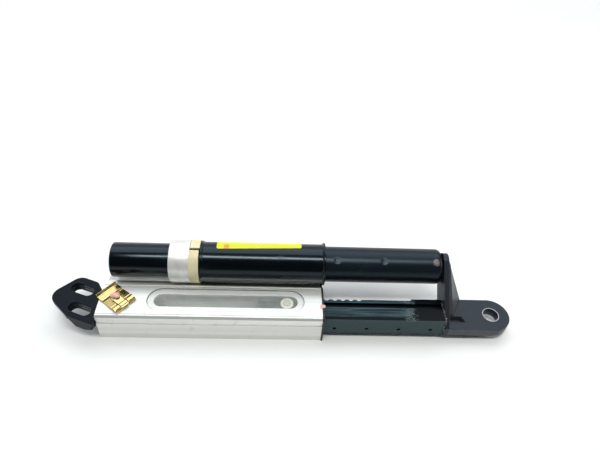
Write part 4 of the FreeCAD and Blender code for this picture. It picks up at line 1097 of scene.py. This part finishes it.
def open_slits(mesh, slits, along, across):
    """Takes out the faces whose middles lie in a slit (along from, to, across from, to)."""
    shape = bmesh.new()
    shape.from_mesh(mesh)
    columns = len(across) - 1
    gone = []
    for index, face in enumerate(shape.faces):
        row, column = divmod(index, columns)
        s = (along[row] + along[row + 1]) / 2
        t = (across[column] + across[column + 1]) / 2
        if any(a < s < b and c < t < d for a, b, c, d in slits):
            gone.append(face)
    bmesh.ops.delete(shape, geom=gone, context="FACES")
    shape.to_mesh(mesh)
    shape.free()


def give_thickness(piece, thick):
    """Turns a single sheet into plate of that thickness with broken edges."""
    plate_up = piece.modifiers.new("thickness", "SOLIDIFY")
    plate_up.thickness = thick
    plate_up.offset = 0.0
    broken = piece.modifiers.new("broken_edges", "BEVEL")
    broken.width = 0.00014
    broken.segments = 2
    broken.limit_method = "ANGLE"


clip_gold = zinc_plate()
sheet_along = np.linspace(-0.0116, 0.0128, 123)
sheet_across = np.linspace(-0.009, 0.009, 91)
s_grid, t_grid = np.meshgrid(sheet_along, sheet_across, indexing="ij")
clip_points = turned_out(s_grid, t_grid, clip_height(s_grid, t_grid))
clip_mesh = grid_mesh(clip_points, wrap_columns=False)
slit_lines = [TONGUE_MIDDLE + side * (TONGUE_HALF + SLIT / 2) for side in (-1.0, 1.0)]
open_slits(clip_mesh, [(0.0012, 1.0, line - SLIT / 2, line + SLIT / 2) for line in slit_lines],
           sheet_along, sheet_across)
clip_mesh.shade_smooth()
clip_piece = new_piece("folded_clip", clip_mesh, clip_gold, "housing", ("spring_clip",))
give_thickness(clip_piece, 0.0006)

under_along, under_across = np.meshgrid(
    np.linspace(-0.0098, 0.0122, 12), np.linspace(-0.0086, 0.0086, 10), indexing="ij")
under_points = turned_out(under_along, under_across, 0.0003 + 0.0 * under_along)
under_leaf = new_piece("clip_under_leaf", grid_mesh(under_points, wrap_columns=False), clip_gold,
                       "housing")
give_thickness(under_leaf, 0.0004)

pin_sides = [(0.0, pivot_low.z), (0.0030, pivot_low.z)] + [
    (radius, housing_top + rise) for radius, rise in (
        (0.0030, 0.0010), (0.0029, 0.0012), (0.0029, 0.0034), (0.0024, 0.0043), (0.0, 0.0045))]
new_piece("pivot_pin", upright_lathe(pin_sides, pivot), worked_steel, "housing",
          ("swivel_pin",))
dab = paint_blob((pivot[0], 0.0, housing_top + 0.0036), (0.0033, 0.0031, 0.0016), seed=1.9)
new_piece("pivot_paint_dab", dab, pink_paint, "housing")
for part in ("pivot_spacer", "pivot_washer"):
    give_finish(part, worked_steel)


# ----------------------------------------------------------
# Inside of the strut. Hard chrome rod, steel piston and plugs, bronze guide, black seals.

chrome = turned_metal("hard_chrome", (0.80, 0.80, 0.81), (0.72, 0.72, 0.74), 900.0)
cut_steel = turned_metal("cut_steel", (0.46, 0.46, 0.47), (0.36, 0.36, 0.38), 500.0)
bronze = turned_metal("guide_bronze", (0.62, 0.42, 0.20), (0.50, 0.33, 0.16), 500.0)
zinc_screw = bare_steel("screw_zinc", (0.60, 0.60, 0.60), (0.45, 0.45, 0.46), 0.3)
seal_rubber = moulded_plastic("seal_rubber", (0.014, 0.014, 0.014), 0.6, 2200.0)
for part, metal in (
        ("piston_rod", chrome), ("piston", cut_steel), ("cylinder_plug", cut_steel),
        ("gas_cylinder", cut_steel), ("rod_guide", bronze), ("collar_screws", zinc_screw),
        ("piston_seal", seal_rubber), ("rod_seal", seal_rubber)):
    give_finish(part, metal)
